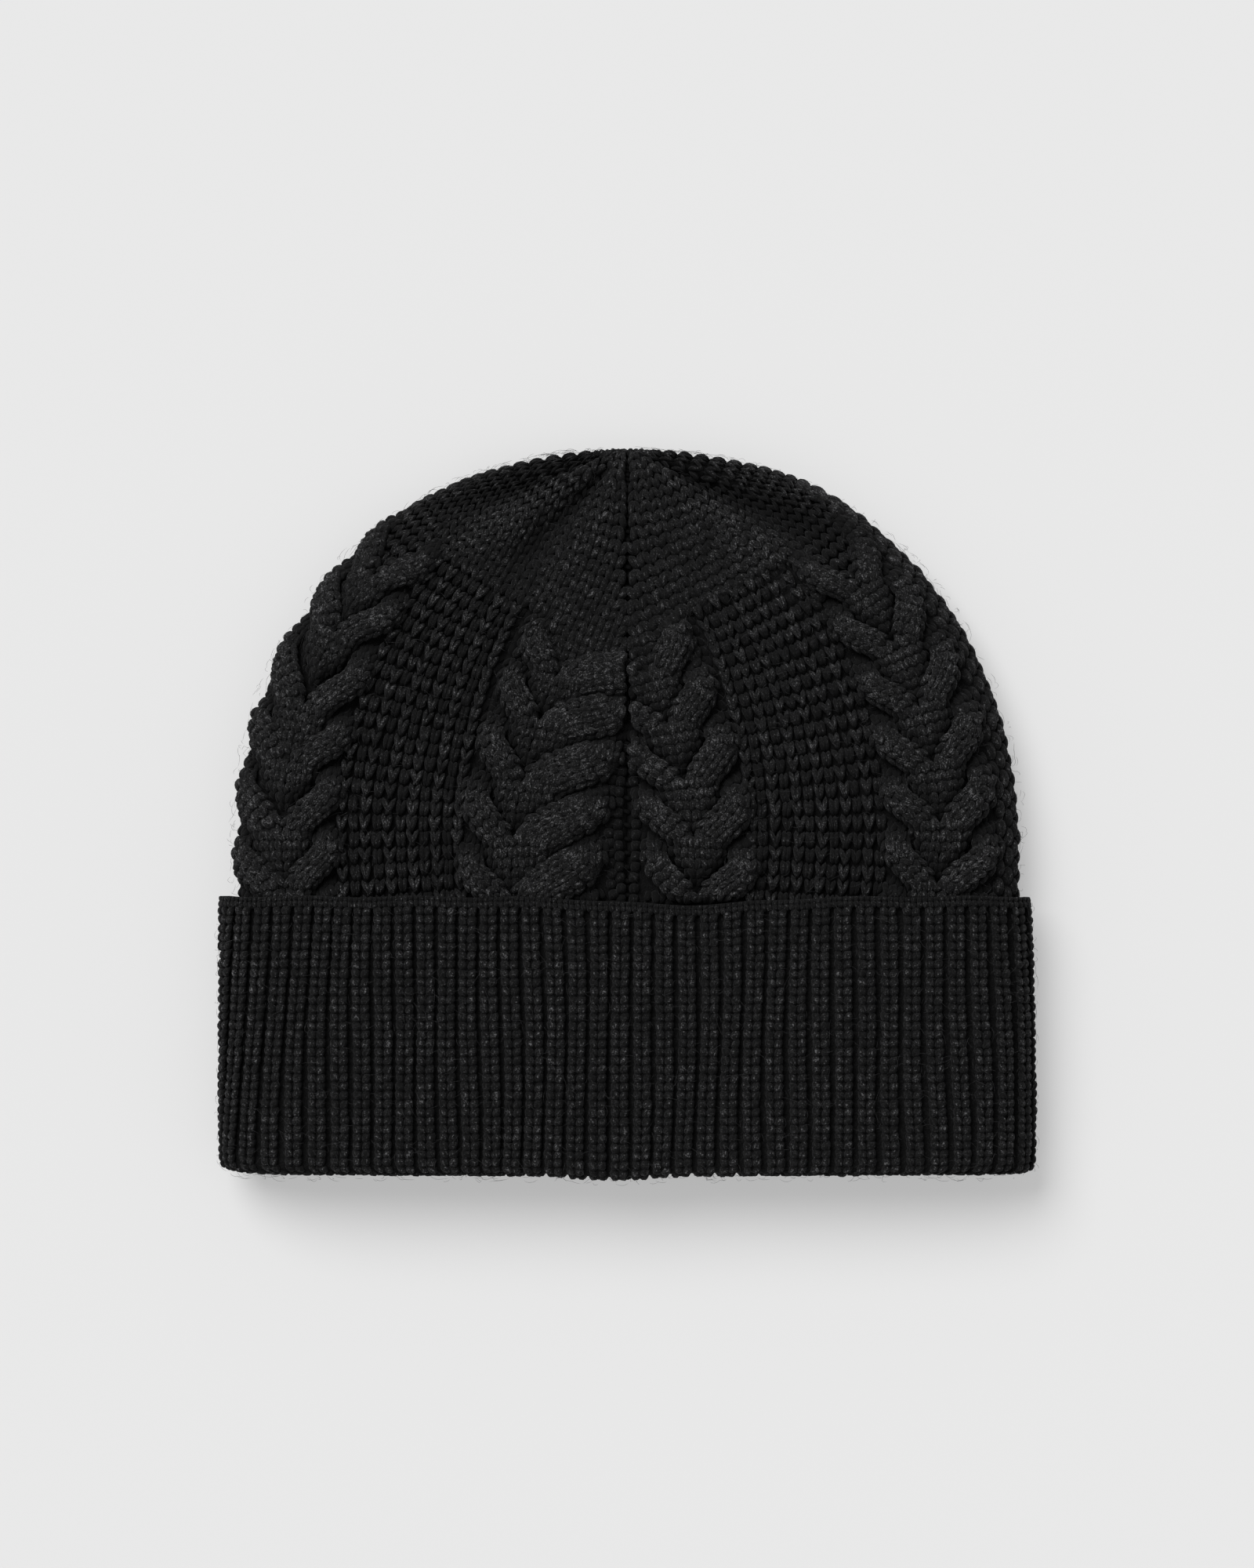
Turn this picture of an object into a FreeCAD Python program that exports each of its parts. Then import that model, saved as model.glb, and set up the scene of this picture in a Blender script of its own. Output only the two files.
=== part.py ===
"""Knit beanie with a turned-up rib cuff, lying flat on its back face.

Frame: +X across the hat, +Y from the head opening to the crown, +Z up through the thickness.
The origin is under the middle of the hat, on the surface that it lies on. Millimetres.
"""
import FreeCAD
import Part
import math
import os

V = FreeCAD.Vector

# Whole hat, lying flat
hat_height = 196.5            # from the bottom fold to the top of the crown
cuff_height = 75.5            # bottom fold to the cuff's free edge
cuff_half_width = 110.0
cuff_half_thickness = 12.5

# Knit cloth
rib_wall = 3.2                # one layer of rib
body_wall = 3.5               # one layer of cabled body knit
layer_gap = 0.3               # between the turned-up layer and what it lies on
pressed_depth = 0.12          # the underside is pressed flat by this much where it rests

# Body outline, half of a rounded superellipse seen from above
body_half_width = 106.8
crown_rise = 111.0            # widest line of the body up to the crown
outline_power = 2.2
edge_power = 8.0              # how square the side folds are in section
pillow_power = 8.0            # how late the body thins towards the crown
join_height = 68.0            # row where the rib turns into the body, above the bottom fold
body_tilt = 0.0375            # the body's middle plane drops this much per millimetre of +Y
settle_length = 35.0          # over which the underside drops from the cuff to the surface

# Seams and small pieces
seam_half_width = 1.4
gather_half_width = 13.0
gather_height = 9.0
cuff_seam_half_width = 1.2
label_width = 24.0
label_height = 18.0
label_thickness = 0.5
label_edge_above_fold = 9.0   # the label's lower edge, above the bottom fold
label_clearance = 0.05
stitch_radius = 0.25
stitch_length = 6.0
stitch_inset = 4.0            # stitches' middle from the label's sides
stitch_drop = 1.5             # stitches below the label's top edge

# Derived places
fold_y = -hat_height / 2.0
crown_y = hat_height / 2.0
cuff_top_y = fold_y + cuff_height
join_y = fold_y + join_height
widest_y = crown_y - crown_rise
middle_z = cuff_half_thickness - pressed_depth
inner_rib_half_thickness = cuff_half_thickness - rib_wall - layer_gap
fold_radius = (2.0 * rib_wall + layer_gap) / 2.0
fold_mid_half_thickness = cuff_half_thickness - fold_radius


def smooth_step(value):
    """Return the smooth ramp from 0 to 1 that a value between 0 and 1 makes."""
    clamped = min(max(value, 0.0), 1.0)
    return clamped * clamped * (3.0 - 2.0 * clamped)


def outline_half_width(y, inset):
    """Return the body's half width at y, with the outline drawn in by inset."""
    share = min(abs(y - widest_y) / (crown_rise - inset), 1.0)
    return (body_half_width - inset) * (1.0 - share ** outline_power) ** (1.0 / outline_power)


def body_middle_z(y):
    """Return the height of the body's middle plane at y."""
    return middle_z - body_tilt * (y - join_y)


def body_half_thickness(y, inset):
    """Return the body's half thickness on the centre line at y, drawn in by inset."""
    under_gap = (rib_wall + layer_gap) * (1.0 - smooth_step((y - join_y) / settle_length))
    share = min(abs(y - widest_y) / (crown_rise - inset), 1.0)
    return (body_middle_z(y) - under_gap - inset) * math.sqrt(1.0 - share ** pillow_power)


def section_wire(y, half_width, half_thickness, centre_z):
    """Return the closed rounded section of the flattened tube at y."""
    quarter = []
    for degrees in (0, 12, 25, 38, 50, 62, 72, 80):
        angle = math.radians(degrees)
        quarter.append((math.cos(angle) ** (2.0 / edge_power), math.sin(angle)))
    for across in (0.45, 0.22):
        quarter.append((across, math.sqrt(1.0 - across ** edge_power)))
    half = quarter + [(0.0, 1.0)] + [(-x, z) for x, z in reversed(quarter)]
    ring = half + [(x, -z) for x, z in reversed(half[1:-1])]
    points = [V(x * half_width, y, centre_z + z * half_thickness) for x, z in ring]
    curve = Part.BSplineCurve()
    curve.interpolate(Points=points, PeriodicFlag=True)
    return Part.Wire([curve.toShape()])


def tube(low_y, high_y, half_width, half_thickness):
    """Return a solid flattened tube of one section from low_y to high_y."""
    face = Part.Face(section_wire(low_y, half_width, half_thickness, middle_z))
    return face.extrude(V(0.0, high_y - low_y, 0.0))


def body_solid(inset, start_y, end_share):
    """Return the body's solid, drawn in by inset, from start_y to near its crown."""
    start_angle = math.asin((start_y - widest_y) / crown_rise)
    end_angle = math.asin(end_share)
    steps = 18
    wires = []
    for index in range(steps + 1):
        angle = start_angle + (end_angle - start_angle) * index / steps
        y = widest_y + (crown_rise - inset) * math.sin(angle)
        wires.append(section_wire(y, outline_half_width(y, inset), body_half_thickness(y, inset),
                                  body_middle_z(y)))
    return Part.makeLoft(wires, True, False)


def half_space(low, high):
    """Return a box between two corners, used to cut the shells."""
    size = high - low
    return Part.makeBox(size.x, size.y, size.z, low)


def tilted_half(upper):
    """Return a big box on one side of the body's tilted middle plane."""
    reach = 400.0
    base_z = 0.0 if upper else -reach
    box = Part.makeBox(2.0 * reach, 2.0 * reach, reach, V(-reach, -reach, base_z))
    box.rotate(V(0, 0, 0), V(1, 0, 0), -math.degrees(math.atan(body_tilt)))
    box.translate(V(0.0, join_y, middle_z))
    return box


def rest_flat(shape):
    """Return the shape with its underside cut flat at the surface that the hat lies on."""
    reach = 400.0
    if shape.BoundBox.ZMin >= 0.0:
        return shape
    return shape.cut(half_space(V(-reach, -reach, -reach), V(reach, reach, 0.0)))


def body_pieces():
    """Return the four panels, the two seams and the crown gather."""
    shell = body_solid(0.0, join_y, 0.9992).cut(body_solid(body_wall, join_y - 1.0, 0.9992))
    reach = 200.0
    gather_low_y = crown_y - gather_height
    gather_box = half_space(V(-gather_half_width, gather_low_y, -reach), V(gather_half_width, reach, reach))
    gather = shell.common(gather_box)
    rest = shell.cut(gather_box).common(half_space(V(-reach, join_y, -reach), V(reach, reach, reach)))
    left = rest.common(half_space(V(-reach, -reach, -reach), V(-seam_half_width, reach, reach)))
    right = rest.common(half_space(V(seam_half_width, -reach, -reach), V(reach, reach, reach)))
    seam = rest.common(half_space(V(-seam_half_width, -reach, -reach), V(seam_half_width, reach, reach)))
    upper = tilted_half(True)
    lower = tilted_half(False)
    return {
        "left_front_panel": left.common(upper),
        "left_back_panel": left.common(lower),
        "right_front_panel": right.common(upper),
        "right_back_panel": right.common(lower),
        "front_seam": seam.common(upper),
        "back_seam": seam.common(lower),
        "crown_gather": gather,
    }


def fold_ring():
    """Return the rounded fold that joins the outer and inner rib layers."""
    mid_half_width = cuff_half_width - fold_radius
    flat = 0.6
    solids = []
    for side in (1.0, -1.0):
        wires = []
        for degrees in (0, 22, 44, 62, 78, 90):
            angle = math.radians(degrees)
            offset = side * (flat + (fold_radius - flat) * math.cos(angle))
            y = fold_y + fold_radius * (1.0 - math.sin(angle))
            wires.append(section_wire(y, mid_half_width + offset, fold_mid_half_thickness + offset,
                                      middle_z))
        solids.append(Part.makeLoft(wires, True, False))
    return solids[0].cut(solids[1])


def cuff_pieces():
    """Return the rib cuff: outer and inner layers, front and back, the fold and the seam."""
    tube_low_y = fold_y + fold_radius
    inner_half_width = cuff_half_width - rib_wall - layer_gap
    outer = tube(tube_low_y, cuff_top_y, cuff_half_width, cuff_half_thickness)
    outer = outer.cut(tube(tube_low_y, cuff_top_y, cuff_half_width - rib_wall,
                           cuff_half_thickness - rib_wall))
    inner = tube(tube_low_y, join_y, inner_half_width, inner_rib_half_thickness)
    inner = inner.cut(tube(tube_low_y, join_y, inner_half_width - rib_wall,
                           inner_rib_half_thickness - rib_wall))
    reach = 200.0
    upper = half_space(V(-reach, -reach, middle_z), V(reach, reach, reach))
    lower = half_space(V(-reach, -reach, -reach), V(reach, reach, middle_z))
    slot = half_space(V(-cuff_seam_half_width, -reach, -reach), V(cuff_seam_half_width, reach, middle_z))
    outer_back = outer.common(lower)
    inner_back = inner.common(lower)
    return {
        "cuff_outer_front": outer.common(upper),
        "cuff_outer_back": outer_back.cut(slot),
        "cuff_inner_front": inner.common(upper),
        "cuff_inner_back": inner_back.cut(slot),
        "cuff_fold": fold_ring(),
        "cuff_seam": Part.makeCompound([outer_back.common(slot), inner_back.common(slot)]),
    }


def label_pieces():
    """Return the blank care label inside the cuff and the stitches that hold it."""
    inner_floor_z = middle_z - inner_rib_half_thickness + rib_wall
    base_z = inner_floor_z + label_clearance
    low_y = fold_y + label_edge_above_fold
    label = Part.makeBox(label_width, label_height, label_thickness, V(-label_width / 2.0, low_y, base_z))
    stitch_y = low_y + label_height - stitch_drop
    stitch_z = base_z + label_thickness + stitch_radius
    stitches = []
    for side in (-1.0, 1.0):
        middle_x = side * (label_width / 2.0 - stitch_inset)
        start = V(middle_x - stitch_length / 2.0, stitch_y, stitch_z)
        stitches.append(Part.makeCylinder(stitch_radius, stitch_length, start, V(1, 0, 0)))
    return {"care_label": label, "label_stitches": Part.makeCompound(stitches)}


def main():
    """Build every piece, check it and write one STEP file for each."""
    os.makedirs("parts", exist_ok=True)
    pieces = {}
    pieces.update(body_pieces())
    pieces.update(cuff_pieces())
    pieces.update(label_pieces())
    for name, whole in pieces.items():
        shape = rest_flat(whole)
        solids = shape.Solids
        volume = sum(solid.Volume for solid in solids)
        sound = all(solid.isValid() and solid.isClosed() for solid in solids)
        kept = solids[0] if len(solids) == 1 else Part.makeCompound(solids)
        kept.exportStep(os.path.join("parts", name + ".step"))
        box = kept.BoundBox
        print(f"{name}: {len(solids)} solid(s), sound {sound}, {volume / 1000.0:.2f} cm3, "
              f"x {box.XMin:.1f}..{box.XMax:.1f} y {box.YMin:.1f}..{box.YMax:.1f} "
              f"z {box.ZMin:.2f}..{box.ZMax:.2f}")


main()
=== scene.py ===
"""Looks of a charcoal cable-knit beanie with a turned-up rib cuff, lying flat.

The knit is built stitch by stitch: every leg of yarn, waffle bead and cable strand is placed on a
map of the lying cloth, and the map bends it to the hat's shape. Sizes are in millimetres until a
mesh is made, which is in metres.
"""

import logging
import math
from dataclasses import dataclass, field
from enum import Enum
from typing import Any, Iterable, Sequence

import bpy
import numpy as np
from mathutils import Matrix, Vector


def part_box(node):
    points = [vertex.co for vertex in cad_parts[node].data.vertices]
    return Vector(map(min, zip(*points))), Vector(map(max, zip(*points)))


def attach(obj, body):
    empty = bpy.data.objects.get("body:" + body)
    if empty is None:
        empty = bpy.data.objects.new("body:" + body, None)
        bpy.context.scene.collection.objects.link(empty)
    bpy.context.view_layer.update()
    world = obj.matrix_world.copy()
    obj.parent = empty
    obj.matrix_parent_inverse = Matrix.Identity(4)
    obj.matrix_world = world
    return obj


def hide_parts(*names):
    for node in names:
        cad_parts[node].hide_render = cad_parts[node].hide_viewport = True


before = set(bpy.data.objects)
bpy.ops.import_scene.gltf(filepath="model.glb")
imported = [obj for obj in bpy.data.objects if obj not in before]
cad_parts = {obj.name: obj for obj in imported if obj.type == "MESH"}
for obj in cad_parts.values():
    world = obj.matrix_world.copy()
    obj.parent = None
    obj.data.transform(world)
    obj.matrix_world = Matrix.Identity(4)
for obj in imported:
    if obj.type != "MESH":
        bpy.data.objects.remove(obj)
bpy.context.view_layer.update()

MM = 0.001
LOG = logging.getLogger("beanie")
Array = np.ndarray
REACH = np.arange(0.0, 126.0, 0.25)     # arc lengths at which a section of the body is read, in mm
LEAN_FROM = 30.0        # arc height where a leaning cable's axis is at its stated place, in mm


class Face(Enum):
    """Which side of the lying hat a piece is on."""

    FRONT = 1
    BACK = -1


class Side(Enum):
    """Which half of the hat a piece is on: the sign of its X."""

    LEFT = -1
    RIGHT = 1


def smooth_step(value: Array, low: float, high: float) -> Array:
    """Return a smooth ramp.

    Args:
        value: where the ramp is read.
        low: where the ramp leaves 0.
        high: where the ramp reaches 1.

    Returns:
        Values from 0 to 1.
    """
    share = np.clip((value - low) / (high - low), 0.0, 1.0)
    return share * share * (3.0 - 2.0 * share)


def uneven(rng: np.random.Generator, amount: float, shape: Any) -> Array:
    """Return small random differences of about that amount, in an array of that shape."""
    return amount * rng.standard_normal(shape)


def hump(value: Array, centre: float, spread: float) -> Array:
    """Return 1 at the centre, falling smoothly to 0 a few spreads away."""
    return np.exp(-(((value - centre) / spread) ** 2))


# --------------------------------------------------------------------------- shader maths


class Sock:
    """One shader socket, with Python operators that add Math nodes."""

    def __init__(self, paint: "Paint", socket: Any) -> None:
        """Wrap a node's output socket."""
        self.paint = paint
        self.socket = socket

    def _math(self, operation: str, *values: Any) -> "Sock":
        """Return the result of a Math node on the given values or sockets."""
        links = {index: value for index, value in enumerate(values)}
        return self.paint.node("ShaderNodeMath", {"operation": operation}, links)

    def __add__(self, other: Any) -> "Sock":
        """Add."""
        return self._math("ADD", self, other)

    def __radd__(self, other: Any) -> "Sock":
        """Add, reflected."""
        return self._math("ADD", other, self)

    def __sub__(self, other: Any) -> "Sock":
        """Subtract."""
        return self._math("SUBTRACT", self, other)

    def __rsub__(self, other: Any) -> "Sock":
        """Subtract, reflected."""
        return self._math("SUBTRACT", other, self)

    def __mul__(self, other: Any) -> "Sock":
        """Multiply."""
        return self._math("MULTIPLY", self, other)

    def __rmul__(self, other: Any) -> "Sock":
        """Multiply, reflected."""
        return self._math("MULTIPLY", other, self)


class Paint:
    """Builds one material's nodes."""

    def __init__(self, name: str) -> None:
        """Make an empty node material of that name."""
        self.material = bpy.data.materials.new(name)
        self.material.use_nodes = True
        self.tree = self.material.node_tree
        self.tree.nodes.clear()

    def node(self, kind: str, settings: dict[str, Any], links: dict[Any, Any], out: Any = 0) -> Sock:
        """Add a node.

        Args:
            kind: the node's type name.
            settings: attributes that are set before the sockets; "stops" holds a ramp's stops.
            links: input name or index to a number, colour or Sock.
            out: the output that is returned, by name or index.

        Returns:
            The wrapped output.
        """
        made = self.tree.nodes.new(kind)
        for key, value in settings.items():
            if key == "stops":
                self._set_stops(made.color_ramp, value)
            else:
                setattr(made, key, value)
        for key, value in links.items():
            if isinstance(value, Sock):
                self.tree.links.new(value.socket, made.inputs[key])
            else:
                made.inputs[key].default_value = value
        return Sock(self, made.outputs[out])

    @staticmethod
    def _set_stops(ramp: Any, stops: Sequence[tuple[float, tuple[float, ...]]]) -> None:
        """Set a colour ramp's stops.

        Args:
            ramp: the colour ramp.
            stops: (place, colour) pairs, from the left.
        """
        while len(ramp.elements) > 1:
            ramp.elements.remove(ramp.elements[-1])
        ramp.elements[0].position = stops[0][0]
        ramp.elements[0].color = stops[0][1]
        for place, colour in stops[1:]:
            ramp.elements.new(place).color = colour

    def mix_colour(self, share: Any, first: Any, second: Any) -> Sock:
        """Return a colour between two, by share."""
        settings = {"data_type": "RGBA"}
        return self.node("ShaderNodeMix", settings, {0: share, 6: first, 7: second}, 2)

    def finish(self, shader: Sock) -> bpy.types.Material:
        """Link the shader to the material's output and return the material."""
        made = self.tree.nodes.new("ShaderNodeOutputMaterial")
        self.tree.links.new(shader.socket, made.inputs["Surface"])
        return self.material


@dataclass(frozen=True)
class YarnFinish:
    """A fuzzy heathered wool yarn, with four shades from its dark fibres to its pale flecks, and painted
    shade in its crevices.
    """

    name: str
    shades: tuple[float, float, float, float]
    places: tuple[float, float, float, float] = (0.425, 0.495, 0.55, 0.61)  # of the shades, by tone
    clump_scale: float = 330.0
    clump_share: float = 0.15
    fibre_scale: float = 2600.0
    fibre_share: float = 0.42
    hair_share: float = 0.43
    hair_turn: float = 0.62     # slant of the hairs across the yarn, in radians
    sheen: float = 0.06
    bump: float = 0.8
    blue: float = 1.03          # how much bluer than grey the yarn is
    crevice_shade: float = 0.13       # painted shade: how much darker the yarn is painted in the crevices

    def material(self) -> bpy.types.Material:
        """Return the yarn's material."""
        paint = Paint(self.name)
        place = paint.node("ShaderNodeTexCoord", {}, {}, "Object")
        clumps = self._noise(paint, place, self.clump_scale, 2.0, 0.5)
        fibres = self._noise(paint, place, self.fibre_scale, 2.0, 0.6)
        yarn = paint.node("ShaderNodeUVMap", {}, {})
        twist = {0: yarn, "Rotation": (0.0, 0.0, self.hair_turn), "Scale": (9.0, 2.4, 1.0)}
        along = paint.node("ShaderNodeMapping", {}, twist)
        hairs = self._noise(paint, along, 1.0, 3.0, 0.7)
        lift = paint.node("ShaderNodeAttribute", {"attribute_name": "lift"}, {}, "Fac")
        heather = clumps * self.clump_share + fibres * self.fibre_share + hairs * self.hair_share
        # painted shade: the tone is pulled darker where the lift attribute is below 1, deep in a crevice
        tone = heather + (lift - 1.0) * self.crevice_shade
        ramp = [(at, (shade, shade, shade * self.blue, 1.0)) for at, shade in zip(self.places, self.shades)]
        colour = paint.node("ShaderNodeValToRGB", {"stops": ramp}, {0: tone})
        height = fibres * 0.45 + hairs * 0.9
        links = {"Strength": self.bump, "Distance": 0.0005, "Height": height}
        bump = paint.node("ShaderNodeBump", {}, links)
        shader = paint.node(
            "ShaderNodeBsdfPrincipled",
            {},
            {
                "Base Color": colour,
                "Roughness": 0.85,
                "Normal": bump,
                "Sheen Weight": self.sheen,
                "Sheen Roughness": 0.5,
                "Sheen Tint": (0.5, 0.5, 0.52, 1.0),
                "Specular IOR Level": 0.15,
            },
        )
        return paint.finish(shader)

    @staticmethod
    def _noise(paint: Paint, vector: Sock, scale: float, detail: float, roughness: float) -> Sock:
        """Return a noise texture's value.

        Args:
            paint: the material's builder.
            vector: where the texture is read.
            scale: its scale.
            detail: how many octaves it has.
            roughness: how strong the finer octaves are.

        Returns:
            The value.
        """
        links = {"Vector": vector, "Scale": scale, "Detail": detail, "Roughness": roughness}
        return paint.node("ShaderNodeTexNoise", {}, links, 0)


@dataclass(frozen=True)
class PlainFinish:
    """A plain diffuse finish with a faint grain, for tape and thread."""

    name: str
    colour: tuple[float, float, float]
    shade: tuple[float, float, float]
    scale: float
    roughness: float
    bump: float = 0.1

    def material(self) -> bpy.types.Material:
        """Return the material."""
        paint = Paint(self.name)
        place = paint.node("ShaderNodeTexCoord", {}, {}, "Object")
        grain = paint.node("ShaderNodeTexNoise", {}, {"Vector": place, "Scale": self.scale}, 0)
        colour = paint.mix_colour(grain, (*self.colour, 1.0), (*self.shade, 1.0))
        links = {"Strength": self.bump, "Distance": 0.0001, "Height": grain}
        bump = paint.node("ShaderNodeBump", {}, links)
        links = {"Base Color": colour, "Roughness": self.roughness, "Normal": bump}
        return paint.finish(paint.node("ShaderNodeBsdfPrincipled", {}, links))


# --------------------------------------------------------------------------- the lying shape


@dataclass
class HatForm:
    """The flat-lying hat's driving sizes, read from the frame, in millimetres."""

    cuff_half_width: float
    cuff_half_thickness: float
    middle_z: float
    fold_y: float
    cuff_top_y: float
    join_y: float
    crown_y: float
    body_half_width: float
    crown_rise: float = 111.0
    outline_power: float = 2.2
    edge_power: float = 8.0       # how square the side folds are in section
    pillow_power: float = 8.0     # how late the body thins towards the crown
    rib_wall: float = 3.2
    layer_gap: float = 0.3
    body_tilt: float = 0.0375     # how far the body's middle plane drops per millimetre of Y
    settle_length: float = 35.0   # over which the underside drops from the cuff to the surface

    @classmethod
    def from_frame(cls) -> "HatForm":
        """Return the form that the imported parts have."""
        cuff_low, cuff_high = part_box("cuff_outer_front")
        fold_low, fold_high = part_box("cuff_fold")
        panel_low, panel_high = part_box("right_front_panel")
        gather_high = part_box("crown_gather")[1]
        return cls(
            cuff_half_width=cuff_high.x / MM,
            cuff_half_thickness=(cuff_high.z - cuff_low.z) / MM,
            middle_z=cuff_low.z / MM,
            fold_y=fold_low.y / MM,
            cuff_top_y=cuff_high.y / MM,
            join_y=panel_low.y / MM,
            crown_y=gather_high.y / MM,
            body_half_width=panel_high.x / MM,
        )

    @property
    def widest_y(self) -> float:
        """Return where the body is widest."""
        return self.crown_y - self.crown_rise

    def half_width(self, y: Array) -> Array:
        """Return the body's half width at y."""
        share = np.clip(np.abs(y - self.widest_y) / self.crown_rise, 0.0, 1.0)
        return self.body_half_width * (1.0 - share**self.outline_power) ** (1.0 / self.outline_power)

    def body_middle(self, y: Array) -> Array:
        """Return the height of the body's middle plane at y."""
        return self.middle_z - self.body_tilt * (y - self.join_y)

    def half_thickness(self, y: Array) -> Array:
        """Return the body's half thickness on the centre line.

        Args:
            y: heights in Y.

        Returns:
            Half thicknesses.
        """
        settled = smooth_step(y - self.join_y, 0.0, self.settle_length)
        under = (self.rib_wall + self.layer_gap) * (1.0 - settled)
        share = np.clip(np.abs(y - self.widest_y) / self.crown_rise, 0.0, 1.0)
        return (self.body_middle(y) - under) * np.sqrt(1.0 - share**self.pillow_power)

    def quarter(self, half_width: float, half_thickness: float, reach: Array) -> tuple[Array, Array]:
        """Return the section's x and height above its middle plane, at arc lengths from the side.

        Args:
            half_width: the section's half width.
            half_thickness: its half thickness.
            reach: arc lengths from the side fold towards the centre, increasing.

        Returns:
            x from the centre line, which goes negative past it, and the height.
        """
        step = np.linspace(0.0, 1.0, 400)
        across = 1.0 - (1.0 - step) ** 2
        x = half_width * across[::-1]
        z = half_thickness * np.sqrt(np.clip(1.0 - across[::-1] ** self.edge_power, 0.0, 1.0))
        arc = np.concatenate([[0.0], np.cumsum(np.hypot(np.diff(x), np.diff(z)))])
        past = np.maximum(reach - arc[-1], 0.0)
        return np.interp(reach, arc, x) - past, np.interp(reach, arc, z)


class Chart:
    """A map from cloth coordinates to the lying hat.

    The first coordinate, across, crosses the wales, and the second, along, follows them.
    """

    def __init__(self, across: Array, along: Array, points: Array, mirrored: bool = False) -> None:
        """Store the table of points.

        Args:
            across: evenly spaced across values, the table's second index.
            along: evenly spaced along values, the table's first index.
            points: the table of points, in millimetres.
            mirrored: whether X is mirrored on the way out.
        """
        self.across = across
        self.along = along
        self.points = points
        self.mirrored = mirrored
        d_along = np.gradient(points, along, axis=0)
        d_across = np.gradient(points, across, axis=1)
        normal = np.cross(d_along, d_across)
        length = np.linalg.norm(normal, axis=2, keepdims=True)
        normal = normal / np.maximum(length, 1e-9)
        stretch_across = np.linalg.norm(d_across, axis=2, keepdims=True)
        stretch_along = np.linalg.norm(d_along, axis=2, keepdims=True)
        self.table = np.concatenate([points, normal, stretch_across, stretch_along], axis=2)

    def read(self, across: Array, along: Array) -> Array:
        """Read the table between its entries.

        Args:
            across: places across the wales.
            along: places along the wales.

        Returns:
            For each place: the point, the normal and the stretch across and along.
        """
        a = (across - self.across[0]) / (self.across[1] - self.across[0])
        b = (along - self.along[0]) / (self.along[1] - self.along[0])
        a = np.clip(a, 0.0, len(self.across) - 1.001)
        b = np.clip(b, 0.0, len(self.along) - 1.001)
        i = a.astype(int)
        j = b.astype(int)
        fa = (a - i)[..., None]
        fb = (b - j)[..., None]
        low = self.table[j, i] * (1.0 - fa) + self.table[j, i + 1] * fa
        high = self.table[j + 1, i] * (1.0 - fa) + self.table[j + 1, i + 1] * fa
        return low * (1.0 - fb) + high * fb

    def place(self, across: Array, along: Array, height: Array) -> Array:
        """Return points at a height above the cloth.

        Args:
            across: places across the wales.
            along: places along the wales.
            height: heights above the cloth, in millimetres.

        Returns:
            Points in millimetres.
        """
        row = self.read(across, along)
        point = row[..., 0:3] + row[..., 3:6] * height[..., None]
        if self.mirrored:
            point = point * np.array([-1.0, 1.0, 1.0])
        return point


# --------------------------------------------------------------------------- stitch shapes


@dataclass(frozen=True)
class Template:
    """A small closed shape in its own across, along and height units, with UVs by vertex."""

    verts: Array
    quads: Array
    tris: Array
    uvs: Array

    @classmethod
    def capsule(cls, sides: int, rings: int, bend: float, taper: float) -> "Template":
        """Return a plump closed yarn leg, one unit wide, long and high.

        Args:
            sides: corners round the leg.
            rings: rings along it, without its two tips.
            bend: how far its ends dip, in heights.
            taper: how much slimmer its lower end is, from 0 to 1.

        Returns:
            The template.
        """
        along = np.linspace(-0.5, 0.5, rings + 2)
        verts: list[tuple[float, float, float]] = []
        uvs: list[tuple[float, float]] = []
        for place in along[1:-1]:
            radius = math.sqrt(max(1.0 - (2.0 * place) ** 2, 0.0)) ** 0.8
            radius *= 1.0 - taper * (0.5 - place)
            for side in range(sides):
                angle = 2.0 * math.pi * side / sides
                dip = bend * (2.0 * place) ** 2
                verts.append((0.5 * radius * math.cos(angle), place, 0.5 * radius * math.sin(angle) - dip))
                uvs.append((side / sides, place + 0.5))
        for place in (along[0], along[-1]):
            verts.append((0.0, place, -bend))
            uvs.append((0.5, place + 0.5))
        quads = []
        for ring in range(rings - 1):
            for side in range(sides):
                nxt = (side + 1) % sides
                base = ring * sides
                quads.append((base + side, base + nxt, base + sides + nxt, base + sides + side))
        low_tip = rings * sides
        last = (rings - 1) * sides
        tris = [(low_tip, (side + 1) % sides, side) for side in range(sides)]
        tris += [(low_tip + 1, last + side, last + (side + 1) % sides) for side in range(sides)]
        return cls(np.array(verts), np.array(quads), np.array(tris), np.array(uvs))


@dataclass
class Placement:
    """Where and how large a set of stitches is, one row for each."""

    across: Array
    along: Array
    height: Array
    width: Array
    length: Array
    depth: Array
    turn: Array
    tilt: Array
    base: Array
    span: Array

    @classmethod
    def make(cls, across: Array, along: Array, height: Any, width: Any, length: Any, depth: Any,
             turn: Any, tilt: Any = 0.0, base: Any = -1.0, span: Any = 2.0) -> "Placement":
        """Return a placement whose fields are all as long as across.

        Args:
            across: places across the wales.
            along: places along the wales.
            height: heights of the stitches' middles above the cloth.
            width: widths of the stitches.
            length: their lengths.
            depth: their depths, away from the cloth.
            turn: how far they are turned on the cloth, in radians.
            tilt: how far their ends rise, per millimetre of length.
            base: height above the cloth where the yarn is deep in a crevice and gets its darkest painted
                shade.
            span: how much higher it is in full light, where the painted shade ends.

        Returns:
            The placement.
        """
        fields = [np.broadcast_to(np.asarray(x, float), across.shape).ravel().copy()
                  for x in (across, along, height, width, length, depth, turn, tilt, base, span)]
        return cls(*fields)

    def keep(self, mask: Array) -> "Placement":
        """Return only the rows where mask is true."""
        return Placement(*(getattr(self, name)[mask] for name in self.__dataclass_fields__))


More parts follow.
